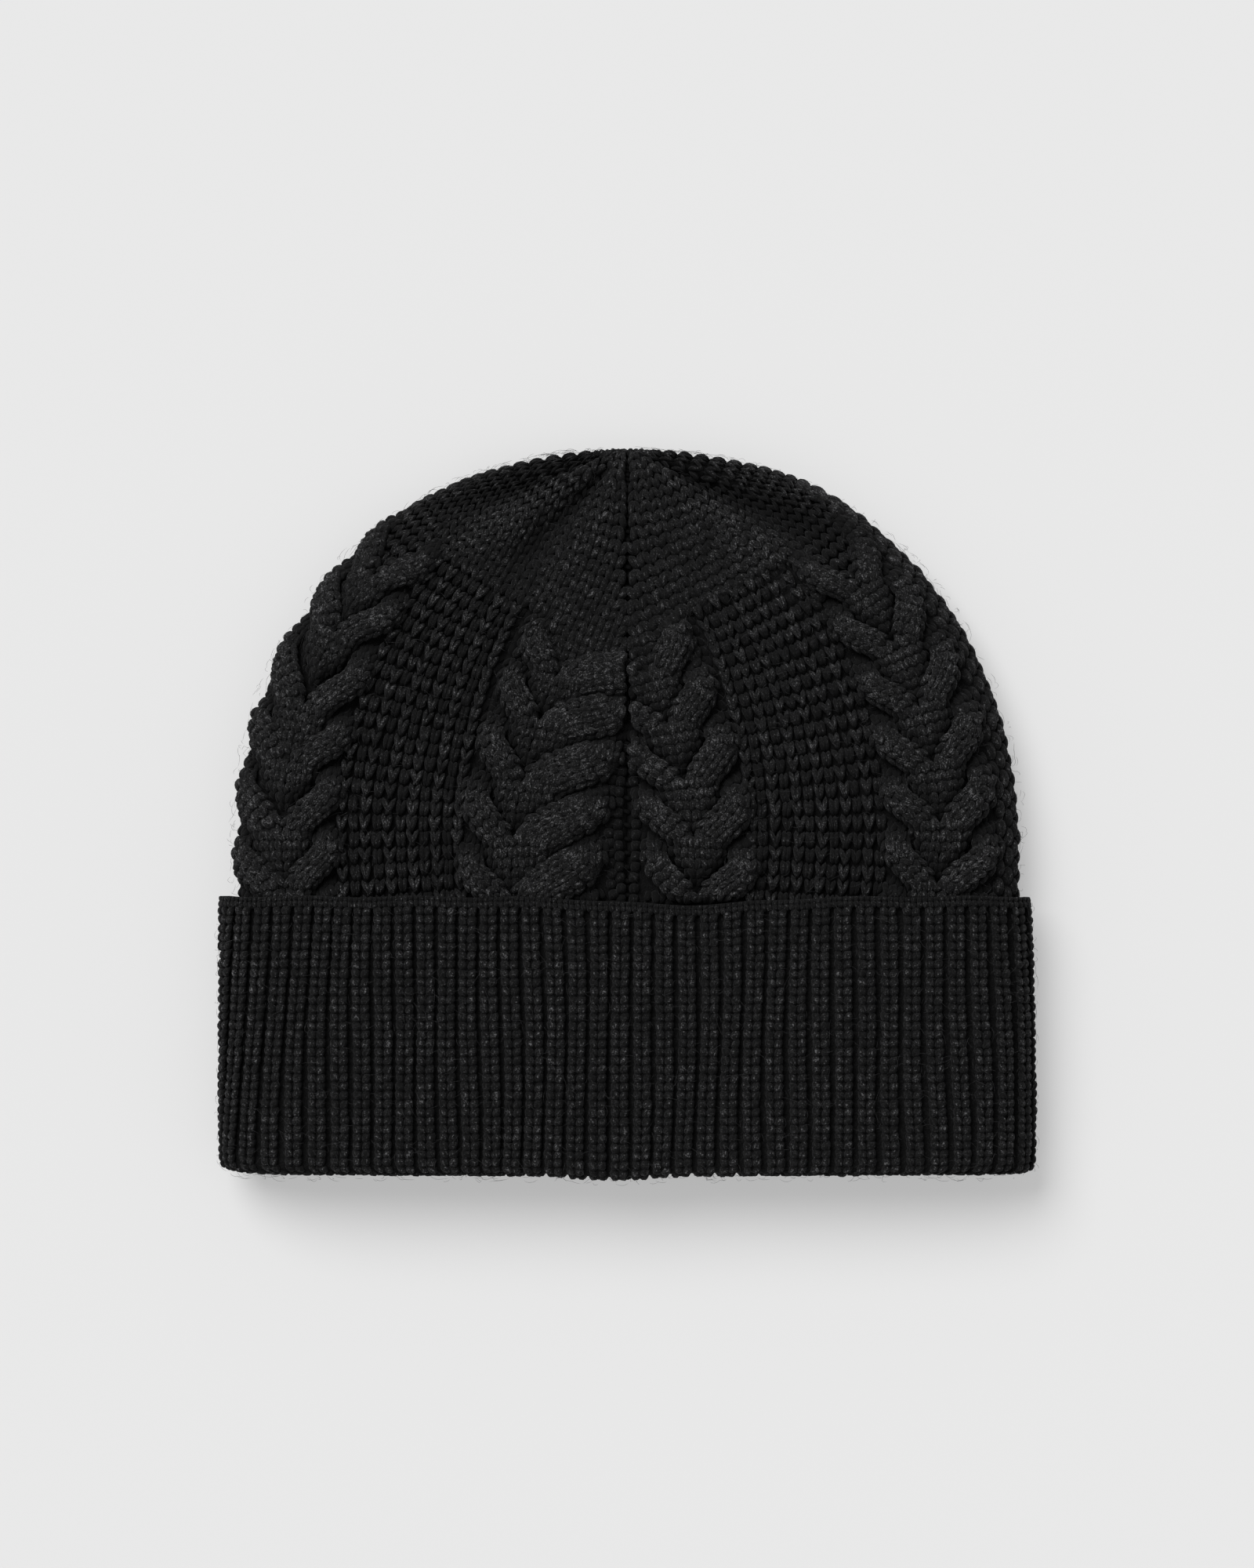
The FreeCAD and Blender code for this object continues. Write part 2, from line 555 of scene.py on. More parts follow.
class Knit:
    """Collects the stitches of one piece and makes its mesh."""

    def __init__(self, name: str) -> None:
        """Start an empty piece of that name."""
        self.name = name
        self.points: list[Array] = []
        self.faces: list[Array] = []
        self.uvs: list[Array] = []
        self.lifts: list[Array] = []
        self.count = 0

    def add_mesh(self, points: Array, faces: Iterable[Array], uvs: Array, reverse: bool,
                 lift: Array | None = None) -> None:
        """Add loose geometry.

        Args:
            points: corners, in millimetres.
            faces: arrays of corner numbers, one row for each face.
            uvs: one UV for each corner.
            reverse: whether the faces are turned round.
            lift: how far out of a crevice each corner is, from 0 to 1, which sets how much painted shade it
                gets, or None for all in the light with no painted shade.
        """
        for block in faces:
            if len(block):
                ordered = block[:, ::-1] if reverse else block
                self.faces.append(ordered + self.count)
        self.points.append(points)
        self.uvs.append(uvs)
        self.lifts.append(np.ones(len(points)) if lift is None else lift)
        self.count += len(points)

    def add(self, chart: Chart, template: Template, where: Placement, seed: int = 0) -> None:
        """Add one stitch for each row of the placement.

        Args:
            chart: the map that bends the stitches to the hat.
            template: the stitch's shape.
            where: places and sizes.
            seed: seed of the stitches' UV shifts.
        """
        number = len(where.across)
        if number == 0:
            return
        shape = template.verts
        local_a = shape[None, :, 0] * where.width[:, None]
        local_b = shape[None, :, 1] * where.length[:, None]
        cos, sin = np.cos(where.turn)[:, None], np.sin(where.turn)[:, None]
        step_a = local_a * cos - local_b * sin
        step_b = local_a * sin + local_b * cos
        rise = shape[None, :, 2] * where.depth[:, None] + local_b * where.tilt[:, None]
        scale = chart.read(where.across, where.along)[:, 6:8]
        across = where.across[:, None] + step_a / np.maximum(scale[:, 0:1], 0.2)
        along = where.along[:, None] + step_b / np.maximum(scale[:, 1:2], 0.2)
        height = where.height[:, None] + rise
        points = chart.place(across, along, height)
        # painted shade: lift runs from 0 at the base, painted darkest, to 1 a span higher, unshaded
        lift = np.clip((height - where.base[:, None]) / where.span[:, None], 0.0, 1.0)
        base = (np.arange(number) * len(shape))[:, None, None]
        quads = (template.quads[None] + base).reshape(-1, 4)
        tris = (template.tris[None] + base).reshape(-1, 3)
        shift = np.random.default_rng(seed + number).random((number, 1, 2)) * 7.0
        uvs = (template.uvs[None] + shift).reshape(-1, 2)
        self.add_mesh(points.reshape(-1, 3), (quads, tris), uvs, chart.mirrored, lift.ravel())

    def add_tubes(self, lines: Array, radius: float, sides: int = 3) -> None:
        """Add thin closed tubes along lines.

        Args:
            lines: points of the lines, as lines by points by 3, in millimetres.
            radius: the tubes' radius in their middle.
            sides: corners round a tube.
        """
        number, steps = lines.shape[:2]
        tangent = np.gradient(lines, axis=1)
        tangent /= np.maximum(np.linalg.norm(tangent, axis=2, keepdims=True), 1e-6)
        first = np.cross(tangent, np.array([0.31, 0.17, 0.93]))
        first /= np.maximum(np.linalg.norm(first, axis=2, keepdims=True), 1e-6)
        second = np.cross(tangent, first)
        thin = radius * (1.0 - 0.75 * np.abs(np.linspace(-1.0, 1.0, steps)) ** 3)[None, :, None, None]
        angle = 2.0 * np.pi * np.arange(sides) / sides
        turned = first[:, :, None] * np.cos(angle)[:, None] + second[:, :, None] * np.sin(angle)[:, None]
        ring = turned * thin
        points = (lines[:, :, None] + ring).reshape(-1, 3)
        block = steps * sides
        one = grid_faces(steps, sides, wrap=True)
        base = (np.arange(number) * block)[:, None, None]
        quads = (one[None] + base).reshape(-1, 4)
        caps = np.stack([np.arange(sides)[::-1], block - sides + np.arange(sides)])
        caps = (caps[None] + base).reshape(-1, sides)
        along = np.tile(np.repeat(np.linspace(0.0, 2.0, steps), sides), number)
        around = np.tile(np.arange(sides) / sides, number * steps)
        self.add_mesh(points, (quads, caps), np.stack([around, along], 1), False)

    @staticmethod
    def _rested(points: Array) -> Array:
        """Return the points with the underside's relief pressed flatter, down to the surface.

        Args:
            points: corners, in millimetres.

        Returns:
            The corners. Those below soft are pressed, and one as low as -deep comes to 0.
        """
        soft, deep = 3.0, 4.4
        share = np.clip((points[:, 2] + deep) / (soft + deep), 0.0, 1.0)
        pressed = soft * share ** ((soft + deep) / soft)
        rested = points.copy()
        rested[:, 2] = np.where(points[:, 2] < soft, pressed, points[:, 2])
        return rested

    def build(self, material: bpy.types.Material) -> bpy.types.Object:
        """Make the piece's mesh.

        Args:
            material: the piece's finish.

        Returns:
            The object, at the origin and in metres.
        """
        points = self._rested(np.concatenate(self.points)) * MM
        uvs = np.concatenate(self.uvs)
        corners = np.concatenate([block.ravel() for block in self.faces]).astype(np.int32)
        sizes = np.concatenate([np.full(len(block), block.shape[1]) for block in self.faces])
        starts = np.concatenate([[0], np.cumsum(sizes)[:-1]]).astype(np.int32)
        mesh = bpy.data.meshes.new(self.name)
        mesh.vertices.add(len(points))
        mesh.vertices.foreach_set("co", points.astype(np.float32).ravel())
        mesh.loops.add(len(corners))
        mesh.loops.foreach_set("vertex_index", corners)
        mesh.polygons.add(len(starts))
        mesh.polygons.foreach_set("loop_start", starts)
        mesh.update(calc_edges=True)
        mesh.validate()
        layer = mesh.uv_layers.new(name="yarn")
        vertex = np.empty(len(mesh.loops), np.int32)
        mesh.loops.foreach_get("vertex_index", vertex)
        layer.data.foreach_set("uv", uvs[vertex].astype(np.float32).ravel())
        # the lift attribute carries the painted crevice shade to the yarn material
        lift = mesh.attributes.new("lift", "FLOAT", "POINT")
        lift.data.foreach_set("value", np.concatenate(self.lifts).astype(np.float32))
        mesh.polygons.foreach_set("use_smooth", np.full(len(mesh.polygons), True))
        mesh.materials.append(material)
        made = bpy.data.objects.new(self.name, mesh)
        bpy.context.scene.collection.objects.link(made)
        LOG.info("%s: %d faces, %d points", self.name, len(mesh.polygons), len(mesh.vertices))
        return made


def grid_faces(rows: int, columns: int, wrap: bool = False) -> Array:
    """Return the quads of a grid of points.

    Args:
        rows: number of rows.
        columns: number of points in a row.
        wrap: whether the last column joins the first.

    Returns:
        Corner numbers, four for each quad.
    """
    last = columns if wrap else columns - 1
    row, column = np.meshgrid(np.arange(rows - 1), np.arange(last), indexing="ij")
    nxt = (column + 1) % columns
    start, after = row * columns, (row + 1) * columns
    quads = [start + column, start + nxt, after + nxt, after + column]
    return np.stack([q.ravel() for q in quads], axis=1)


LEG = Template.capsule(sides=6, rings=4, bend=0.45, taper=0.25)
BEAD = Template.capsule(sides=8, rings=5, bend=0.35, taper=0.0)


# --------------------------------------------------------------------------- the cuff


@dataclass
class Cuff:
    """The turned-up rib cuff: outer layer, bottom fold and the layer inside."""

    form: HatForm
    ribs: int = 78
    row_pitch: float = 2.33
    outer_rows: int = 31          # rows from the free edge to the bottom fold
    inside_rows: int = 12         # rows of stitches up the inside of the head opening
    leg_spread: float = 1.22      # leg columns, from the rib's middle
    leg_width: float = 2.6
    leg_depth: float = 1.9
    chart: Chart = field(init=False)
    outer_length: float = field(init=False)
    fold_length: float = field(init=False)
    path_length: float = field(init=False)

    def __post_init__(self) -> None:
        """Work out the cloth path and the map."""
        form = self.form
        radius = (2.0 * form.rib_wall + form.layer_gap) / 2.0
        tube_low = form.fold_y + radius
        self.outer_length = form.cuff_top_y - tube_low
        self.fold_length = math.pi * radius
        self.path_length = self.outer_length + self.fold_length + form.join_y - tube_low
        self.chart = self._make_chart(radius)

    def _section(self, path: float, radius: float) -> tuple[float, float, float]:
        """Return the section of the cuff's face at a place on the cloth path.

        Args:
            path: distance along the cloth, from the free edge.
            radius: radius of the bottom fold.

        Returns:
            The half width, the half thickness and y.
        """
        form = self.form
        mid_width = form.cuff_half_width - radius
        mid_thickness = form.cuff_half_thickness - radius
        if path < self.outer_length:
            return form.cuff_half_width, form.cuff_half_thickness, form.cuff_top_y - path
        tube_low = form.fold_y + radius
        if path < self.outer_length + self.fold_length:
            angle = (path - self.outer_length) / radius
            offset = radius * math.cos(angle)
            return mid_width + offset, mid_thickness + offset, tube_low - radius * math.sin(angle)
        beyond = path - self.outer_length - self.fold_length
        return mid_width - radius, mid_thickness - radius, tube_low + beyond

    def _make_chart(self, radius: float) -> Chart:
        """Make the cuff's map: across is turns from the front centre, and along is the cloth path.

        Args:
            radius: radius of the bottom fold.

        Returns:
            The map.
        """
        form = self.form
        along = np.arange(0.0, self.path_length, 0.75)
        across = np.linspace(-0.06, 1.06, 1400)
        table = np.zeros((len(along), len(across), 3))
        for row, path in enumerate(along):
            width, thickness, y = self._section(float(path), radius)
            reach = np.linspace(0.0, width * 1.2, 500)
            x, z = form.quarter(width, thickness, reach)
            full = float(np.interp(0.0, -x, reach))
            turn = np.mod(across, 1.0)
            quarter = np.floor(turn * 4.0).astype(int) % 4
            part = turn * 4.0 - quarter
            from_side = np.where(quarter % 2 == 0, 1.0 - part, part) * full
            px = np.interp(from_side, reach, x) * np.where(quarter < 2, 1.0, -1.0)
            pz = np.interp(from_side, reach, z) * np.where((quarter == 0) | (quarter == 3), 1.0, -1.0)
            narrow = 1.5 * math.exp(-path / 22.0) * smooth_step(px, 20.0, 108.0)
            table[row, :, 0] = px - narrow
            table[row, :, 1] = y + self._edge_wave(px, pz, float(path))
            table[row, :, 2] = form.middle_z + pz
        table[:, :, 2] = np.maximum(table[:, :, 2], 0.5)
        return Chart(across, along, table)

    def _edge_wave(self, x: Array, z: Array, path: float) -> Array:
        """Return how far the free edge and the fold wander from straight, along Y.

        Args:
            x: places across the hat.
            z: heights above the cuff's middle plane.
            path: distance along the cloth, from the free edge.

        Returns:
            Distances along Y.
        """
        fade = max(0.0, 1.0 - path / 26.0)
        front = 1.0 / (1.0 + np.exp(-z * 1.5))
        dip = 0.7 - 2.2 * hump(x, 15.0, 27.0)
        edge = dip * front + 0.5 * np.sin(x * 0.09) * (1.0 - front) + 0.25 * np.sin(x * 0.21 + 1.0)
        near_fold = float(hump(np.array(path - self.outer_length), 5.0, 14.0))
        corner = 0.8 * hump(x, -self.form.cuff_half_width, 9.0)
        fold = corner + 0.95 - 0.15 * np.cos(x * 0.03) - 1.1 * hump(x, -4.0, 13.0)
        return edge * fade + fold * near_fold

    def _turns(self, share: Array, path: Array) -> Array:
        """Return where the ribs run, with their drift to the sides and their small wander.

        Args:
            share: the ribs' even places, in turns round the hat.
            path: distances along the cloth, from the free edge.

        Returns:
            Turns round the hat.
        """
        turns = share - 0.07 / (2.0 * math.pi) * np.cos(2.0 * math.pi * share)
        around = 2.0 * math.pi * share
        from_left = np.abs(np.mod(share, 1.0) - 0.75)
        lean = -0.0105 * (path / 62.0) * hump(from_left, 0.0, 0.075)
        slow = 0.0009 * np.sin(around * 3.0 + path * 0.05)
        wander = slow + 0.0006 * np.sin(around * 11.0 + path * 0.09 + 1.0)
        return turns + lean + wander

    @staticmethod
    def _on_face(turns: Array, face: Face) -> Array:
        """Return which turns round the hat are on a face."""
        return (np.cos(2.0 * math.pi * turns) >= 0.0) == (face is Face.FRONT)

    def fold_trim(self, path: Array) -> Array:
        """Return how much the stitches are drawn in where the cloth turns at the bottom."""
        middle = self.outer_length + 0.5 * self.fold_length
        return 0.8 * hump(path, middle, 5.0)

    def rib_profile(self, share: Array) -> Array:
        """Return 1 on a rib's crest and 0 in the valley, by share of a turn."""
        phase = np.mod(share * self.ribs, 1.0) - 0.5
        return np.cos(np.pi * np.clip(phase * 1.15, -0.5, 0.5)) ** 1.2

    def cloth(self, material: bpy.types.Material) -> bpy.types.Object:
        """Make the ribbed cloth under the stitches, a closed band that turns at the fold.

        Args:
            material: the yarn.

        Returns:
            The piece.
        """
        columns = self.ribs * 6
        end = self.path_length - 0.8
        face = np.linspace(0.0, end, 96)
        back = np.linspace(end, 0.0, 32)
        share = np.arange(columns) / columns
        piece = Knit("cuff_cloth")
        rows = []
        for path in face:
            low = smooth_step(np.array(path), 0.0, 2.0)
            fold = float(hump(path - self.outer_length, 0.5 * self.fold_length, 6.0))
            height = -1.7 + 0.6 * fold + self.rib_profile(share) * (1.3 - 0.5 * fold) * (0.35 + 0.65 * low)
            rows.append(self._row(share, path, height))
        for path in back:
            round_edge = 0.5 if path in (back[0], back[-1]) else 0.0
            rows.append(self._row(share, path, np.full(columns, -3.0 + round_edge)))
        points = np.concatenate(rows + [rows[0]])
        total = len(rows)
        faces = grid_faces(total + 1, columns, wrap=True) % (total * columns)
        uv_rows = [np.stack([share * self.ribs, np.full(columns, i * 0.7)], 1) for i in range(total)]
        piece.add_mesh(points[: total * columns], (faces,), np.concatenate(uv_rows), True)
        return piece.build(material)

    def _row(self, share: Array, path: float, height: Array) -> Array:
        """Return one row of points round the cloth."""
        along = np.full(len(share), float(path))
        return self.chart.place(np.mod(self._turns(share, along), 1.0), along, height)

    def stitches(self, name: str, face: Face, rows: range, material: bpy.types.Material,
                 seed: int) -> bpy.types.Object:
        """Return the knit legs of some rows on one face of the hat.

        Args:
            name: the piece's name.
            face: front or back.
            rows: numbers of the rows, counted from the free edge.
            material: the yarn.
            seed: seed of the small unevenness.

        Returns:
            The piece.
        """
        rng = np.random.default_rng(seed)
        piece = Knit(name)
        legs = np.array([-1.0, 1.0])
        row, rib, leg = np.meshgrid(np.array(rows), np.arange(self.ribs), legs, indexing="ij")
        row, rib, leg = row.ravel(), rib.ravel(), leg.ravel()
        share = (rib + 0.5) / self.ribs
        path = (row + 0.6) * self.row_pitch
        turns = self._turns(share, path)
        perimeter = self.chart.read(np.mod(turns, 1.0), path)[:, 6]
        wobble = 1.0 + uneven(rng, 0.06, len(row))
        across = np.mod(turns + leg * self.leg_spread * wobble / perimeter, 1.0)
        keep = self._on_face(across, face)
        jitter = uneven(rng, 0.10, len(row))
        where = Placement.make(
            across,
            path + jitter,
            0.05 + uneven(rng, 0.10, len(row)) - self.fold_trim(path),
            self.leg_width * (1.0 + uneven(rng, 0.06, len(row))),
            self.row_pitch * 1.52,
            self.leg_depth,
            leg * 0.38 + uneven(rng, 0.06, len(row)),
            base=-0.6 - self.fold_trim(path),
            span=1.35,
        )
        piece.add(self.chart, LEG, where.keep(keep), seed)
        return piece.build(material)

    def seam(self, material: bpy.types.Material) -> bpy.types.Object:
        """Make the line of seam stitches down the middle of the cuff's back.

        Args:
            material: the yarn.

        Returns:
            The piece.
        """
        rng = np.random.default_rng(8)
        piece = Knit("cuff_seam_yarn")
        path = np.arange(1.5, self.path_length - 10.0, self.row_pitch)
        shape = path.shape
        turns = np.full(len(path), 0.5)
        where = Placement.make(turns, path, 0.35 + uneven(rng, 0.1, shape), 1.5, 3.4, 1.6,
                               0.5 * math.pi + 0.3)
        piece.add(self.chart, LEG, where, 6)
        return piece.build(material)

    def fuzz(self, number: int, material: bpy.types.Material) -> bpy.types.Object:
        """Make loose fibres over the cuff.

        Args:
            number: how many there are.
            material: the loose yarn.

        Returns:
            The piece.
        """
        rng = np.random.default_rng(70)
        piece = Knit("cuff_fibres")
        across = rng.uniform(0.0, 1.0, number)
        along = rng.uniform(1.0, self.outer_length + self.fold_length * 0.7, number)
        girth = self.chart.read(across, along)[:, 6:7].mean()
        wide = Chart(self.chart.across * girth, self.chart.along, self.chart.points)
        Fuzz().add(piece, wide, across * girth, along, rng)
        return piece.build(material)

    def welt(self, face: Face, material: bpy.types.Material) -> bpy.types.Object:
        """Make the smooth rolled edge along the cuff's free edge.

        Args:
            face: front or back.
            material: the yarn.

        Returns:
            The piece.
        """
        rng = np.random.default_rng(5)
        piece = Knit(f"cuff_welt_{face.name.lower()}")
        number = self.ribs * 4
        share = (np.arange(number) + 0.5) / number
        for level, (path, height) in enumerate(((-0.1, -0.9), (0.5, -0.1), (1.9, 0.05))):
            along = np.full(number, path) + uneven(rng, 0.08, number)
            turns = np.mod(self._turns(share, along), 1.0)
            keep = self._on_face(turns, face)
            where = Placement.make(turns, along, height + uneven(rng, 0.06, number), 1.75, 2.6, 1.5,
                                   0.25 * (1 if level % 2 else -1))
            piece.add(self.chart, LEG, where.keep(keep), 40 + level)
        return piece.build(material)


# --------------------------------------------------------------------------- the body


@dataclass
class CableSpec:
    """One horseshoe cable of the body, by distances from the centre seam at the cuff.

    bottoms are the heights in Y where each pair of strands parts in the cable's middle.
    """

    axis: float
    inner_half: float
    outer_half: float
    bottoms: tuple[float, ...]
    lean: float = 0.0          # how far the axis moves towards the seam, per millimetre up
    part_at: float = 0.26      # where the strands part, as a share of a crossing


@dataclass
class Strand:
    """One strand's visible crossing: the cable's axis, direction, half width, arc range and lean."""

    axis: float
    outward: float
    width: float
    low: float
    high: float
    lean: float = 0.0

    def path(self, tau: Array) -> Array:
        """Return the distance of the strand's middle from the axis.

        Args:
            tau: progress through the crossing: 0 where it parts from its twin, 1 where it dives.

        Returns:
            Distances from the axis.
        """
        out = smooth_step(tau, 0.16, 0.82)
        back = smooth_step(tau, 1.0, 1.5)
        return self.width * (0.25 + 0.52 * out - 0.10 * back)

    def centre(self, tau: Array) -> Array:
        """Return the height of the strand's crest, which climbs over the strands below it.

        Args:
            tau: progress through the crossing.

        Returns:
            Heights above the cloth.
        """
        places = (-1.2, -0.72, -0.55, -0.40, -0.15, 0.1, 0.5, 0.85, 1.1, 1.3, 1.5)
        heights = (-3.2, -2.9, -1.8, 0.7, 2.3, 2.9, 4.5, 3.8, 1.5, -1.2, -3.2)
        return np.interp(tau, places, heights)

    def place(self, tau: Array, lateral: Array) -> tuple[Array, Array, Array]:
        """Return the distance from the axis, the arc height and the height above the cloth.

        Args:
            tau: progress through the crossing.
            lateral: places across the strand, -1 at its inner edge and 1 at its outer edge.

        Returns:
            The three coordinates.
        """
        pitch = self.high - self.low
        step = 0.04
        slope = (self.path(tau + step) - self.path(tau - step)) / (2.0 * step * pitch)
        along = 1.0 / np.sqrt(1.0 + slope**2)
        half = self.width * 0.26 * (1.0 - 0.1 * smooth_step(np.abs(tau - 0.5), 0.3, 0.9))
        chin = np.clip((-0.12 - tau) / 0.45, 0.0, 1.0)
        away = (self.path(tau) + lateral * half * along) * np.sqrt(1.0 - 0.75 * chin**2)
        arc = self.low + tau * pitch - lateral * half * slope * along
        single = smooth_step(tau, 0.0, 0.4)
        inner_drop = 2.2 * np.clip(-lateral, 0.0, 1.5) ** 2.8 * single
        outer_drop = 3.1 * np.clip(lateral, 0.0, 1.5) ** 2.6
        early = 1.0 - smooth_step(tau, -0.3, 0.15)
        return away, arc, self.centre(tau - 0.22 * lateral * early) - inner_drop - outer_drop


@dataclass
class BandSpec:
    """A band of one stitch kind, by distances from the centre seam at the cuff."""

    low: float
    high: float


@dataclass(frozen=True)
class CrownFold:
    """One soft fold that runs out from the crown, and dies away between its two reaches."""

    bearing: float                # direction from the centre line, in radians
    spread: float
    rise: float
    fades: tuple[float, float]

    def height(self, bearing: Array, reach: Array) -> Array:
        """Return the fold's height at bearings and distances from the crown."""
        return self.rise * hump(bearing, self.bearing, self.spread) * (1.0 - smooth_step(reach, *self.fades))


@dataclass
class BodyHalf:
    """One half of the body: a cabled panel that wraps from the front seam round to the back seam."""

    form: HatForm
    side: Side
    front_cables: list[CableSpec]
    back_cables: list[CableSpec]
    front_waffle: BandSpec
    back_waffle: BandSpec
    front_folds: list[CrownFold]
    fold_trim: float              # how far the stitches are drawn in along the side fold
    knit_seed: int
    hidden: float = 5.0           # how far the columns start below the cuff's free edge
    waffle_top: float = 62.0
    bead_pitch: float = 3.13
    bead_row: float = 4.2
    channel_top: float = 40.0     # top of the purl channel beside the centre seam
    channel_pitch: float = 2.3
    channel_row: float = 2.9
    edge_top: float = 88.0        # top of the purl columns on the side fold
    edge_step: float = 3.0
    edge_row: float = 5.3
    strand_leg: float = 2.9       # about how wide a column of a strand's stitches is
    cable_row: float = 2.75
    cable_fade: float = 0.55      # how much lower the cables' crests are where they run into the crown
    cable_fade_y: float = 80.0    # height in Y where that is complete
    side_press: float = 0.35      # how much lower the crests are on the side fold
    crown_leg: float = 2.2
    crown_row: float = 3.2
    groove_light: float = 0.65    # how little painted shade the crown's folds put on the yarn, from 0 to 1
    chart: Chart = field(init=False)
    seam_reach: float = field(init=False)

    def __post_init__(self) -> None:
        """Work out the map of this half."""
        self._make_chart()

    def _make_chart(self) -> None:
        """Make the map: across is arc length from the side fold at the cuff, and along is the fold's arc."""
        form = self.form
        base = form.join_y - 4.0
        angle = np.linspace(0.0, 1.0, 700)
        low_turn = math.asin((base - form.widest_y) / form.crown_rise)
        turn = low_turn + (math.radians(89.6) - low_turn) * angle
        y = form.widest_y + form.crown_rise * np.sin(turn)
        x_edge = form.half_width(y)
        arc = np.concatenate([[0.0], np.cumsum(np.hypot(np.diff(x_edge), np.diff(y)))])
        narrow = 0.30 + 0.70 * smooth_step(y, 50.0, 85.0)
        slope = np.gradient(np.log(np.maximum(x_edge, 0.5)), y)
        pull = narrow * slope
        pulled = np.cumsum(0.5 * pull[1:] * np.diff(y) + 0.5 * pull[:-1] * np.diff(y))
        squeeze = np.exp(np.concatenate([[0.0], pulled]))
        across = np.arange(-118.0, 118.5, 0.5)
        table = np.zeros((len(y), len(across), 3))
        middle = form.body_middle(y)
        thickness = form.half_thickness(y)
        for row in range(len(y)):
            x, z = form.quarter(float(x_edge[row]), float(thickness[row]), REACH)
            from_side = np.abs(across) * squeeze[row]
            table[row, :, 0] = np.interp(from_side, REACH, x)
            table[row, :, 1] = y[row]
            table[row, :, 2] = middle[row] + np.sign(across) * np.interp(from_side, REACH, z)
        lowest = form.quarter(float(x_edge[0]), float(thickness[0]), REACH)[0]
        self.seam_reach = float(np.interp(0.0, -lowest, REACH))
        d_y = np.gradient(table, y, axis=0)
        d_across = np.gradient(table, across, axis=1)
        fall = -np.sum(d_y * d_across, axis=2) / np.sum(d_y * d_y, axis=2)
        fall = np.clip(fall, -1.2, 1.2)
        along = np.arange(0.0, float(arc[-1]), 0.5)
        start = np.interp(along, arc, y)
        course = np.zeros((len(along), len(across)))
        centre = int(np.argmin(np.abs(across)))
        course[:, centre] = start
        for direction in (1, -1):
            here = start.copy()
            stop = len(across) if direction > 0 else -1
            for column in range(centre + direction, stop, direction):
                step = (across[1] - across[0]) * direction
                slope_here = np.interp(here, y, fall[:, column - direction])
                middle_y = here + slope_here * step * 0.5
                here = here + np.interp(middle_y, y, fall[:, column]) * step
                here = np.clip(here, y[0] - 30.0, y[-1])
                course[:, column] = here
        points = np.zeros((len(along), len(across), 3))
        for column in range(len(across)):
            for axis in range(3):
                points[:, column, axis] = np.interp(course[:, column], y, table[:, column, axis])
            points[:, column, 1] = np.minimum(points[:, column, 1], course[:, column])
        self.y_rows = y
        self.edge_rows = x_edge
        self.chart = Chart(across, along, points, mirrored=self.side is Side.LEFT)

    def wale(self, from_seam: float, face: Face) -> float:
        """Return the across coordinate of the wale that starts that far from the centre seam."""
        return (self.seam_reach - from_seam) * face.value

    def _rows(self, wale: float, pitch: float, low_y: float, high_y: float) -> Array:
        """Return along values evenly spaced along one wale.

        Args:
            wale: the wale's across coordinate.
            pitch: distance between rows.
            low_y: height in Y where they start.
            high_y: height in Y where they end.

        Returns:
            The along values.
        """
        along = self.chart.along
        points = self.chart.place(np.full(len(along), wale), along, np.zeros(len(along)))
        arc = np.concatenate([[0.0], np.cumsum(np.linalg.norm(np.diff(points, axis=0), axis=1))])
        inside = (points[:, 1] > low_y) & (points[:, 1] < high_y)
        if not inside.any():
            return np.zeros(0)
        low, high = arc[inside][0], arc[inside][-1]
        return np.interp(np.arange(low, high, pitch), arc, along)

    def _cables(self, face: Face) -> list[CableSpec]:
        """Return a face's cables."""
        return self.front_cables if face is Face.FRONT else self.back_cables

    def _waffle(self, face: Face) -> BandSpec:
        """Return a face's waffle band."""
        return self.front_waffle if face is Face.FRONT else self.back_waffle

    def _cabled(self, face: Face) -> tuple[float, float]:
        """Return how far from the seam a face's cables begin and end."""
        cables = self._cables(face)
        nearest = min(cable.axis - cable.inner_half for cable in cables)
        return nearest, max(cable.axis + cable.outer_half for cable in cables)

    def _courses(self, face: Face) -> Array:
        """Return the along values of a face's rows of waffle."""
        band = self._waffle(face)
        middle = self.wale((band.low + band.high) / 2.0, face)
        return self._rows(middle, self.bead_row, self.form.cuff_top_y - self.hidden, self.waffle_top)

    def on_cloth(self, where: Placement, margin: float = 1.2) -> Array:
        """Return which rows are on this half's side of the seam and above the cuff's free edge."""
        row = self.chart.read(where.across, where.along)
        return (row[:, 0] > margin) & (row[:, 1] > self.form.cuff_top_y - 3.5)

    # ----- macro folds

    def side_trim(self, across: Array, along: Array) -> Array:
        """Return how much the stitches are drawn in towards the side fold.

        Args:
            across: places across the wales.
            along: places along the wales.

        Returns:
            Depths, in millimetres.
        """
        height = self.chart.read(across, along)[..., 1]
        crown = smooth_step(height, self.waffle_top, self.edge_top)
        return self.fold_trim * hump(across, 0.0, 13.0) * (1.0 - 0.8 * crown)

    def pleat(self, across: Array, along: Array) -> Array:
        """Return the height of the crown's soft radiating folds at places on the map."""
        row = self.chart.read(across, along)
        return self.fold_height(row[..., 0], row[..., 1], across > 0.0) - self.side_trim(across, along)

    def fold_height(self, x: Array, y: Array, front: Array) -> Array:
        """Return the height of the crown's folds.

        Args:
            x: distances from the centre line.
            y: heights in Y.
            front: which places are on the front face.

        Returns:
            Heights above the smooth form.
        """
        gap = np.maximum(self.form.crown_y + 1.0 - y, 1.0)
        bearing = np.arctan2(x, gap)
        reach = np.hypot(x, gap)
        fade = smooth_step(reach, 3.0, 16.0)
        wave = sum(fold.height(bearing, reach) for fold in self.front_folds)
        back = 0.9 * np.sin(bearing * 7.0) * (1.0 - smooth_step(reach, 46.0, 78.0))
        return fade * np.where(front, wave, back)

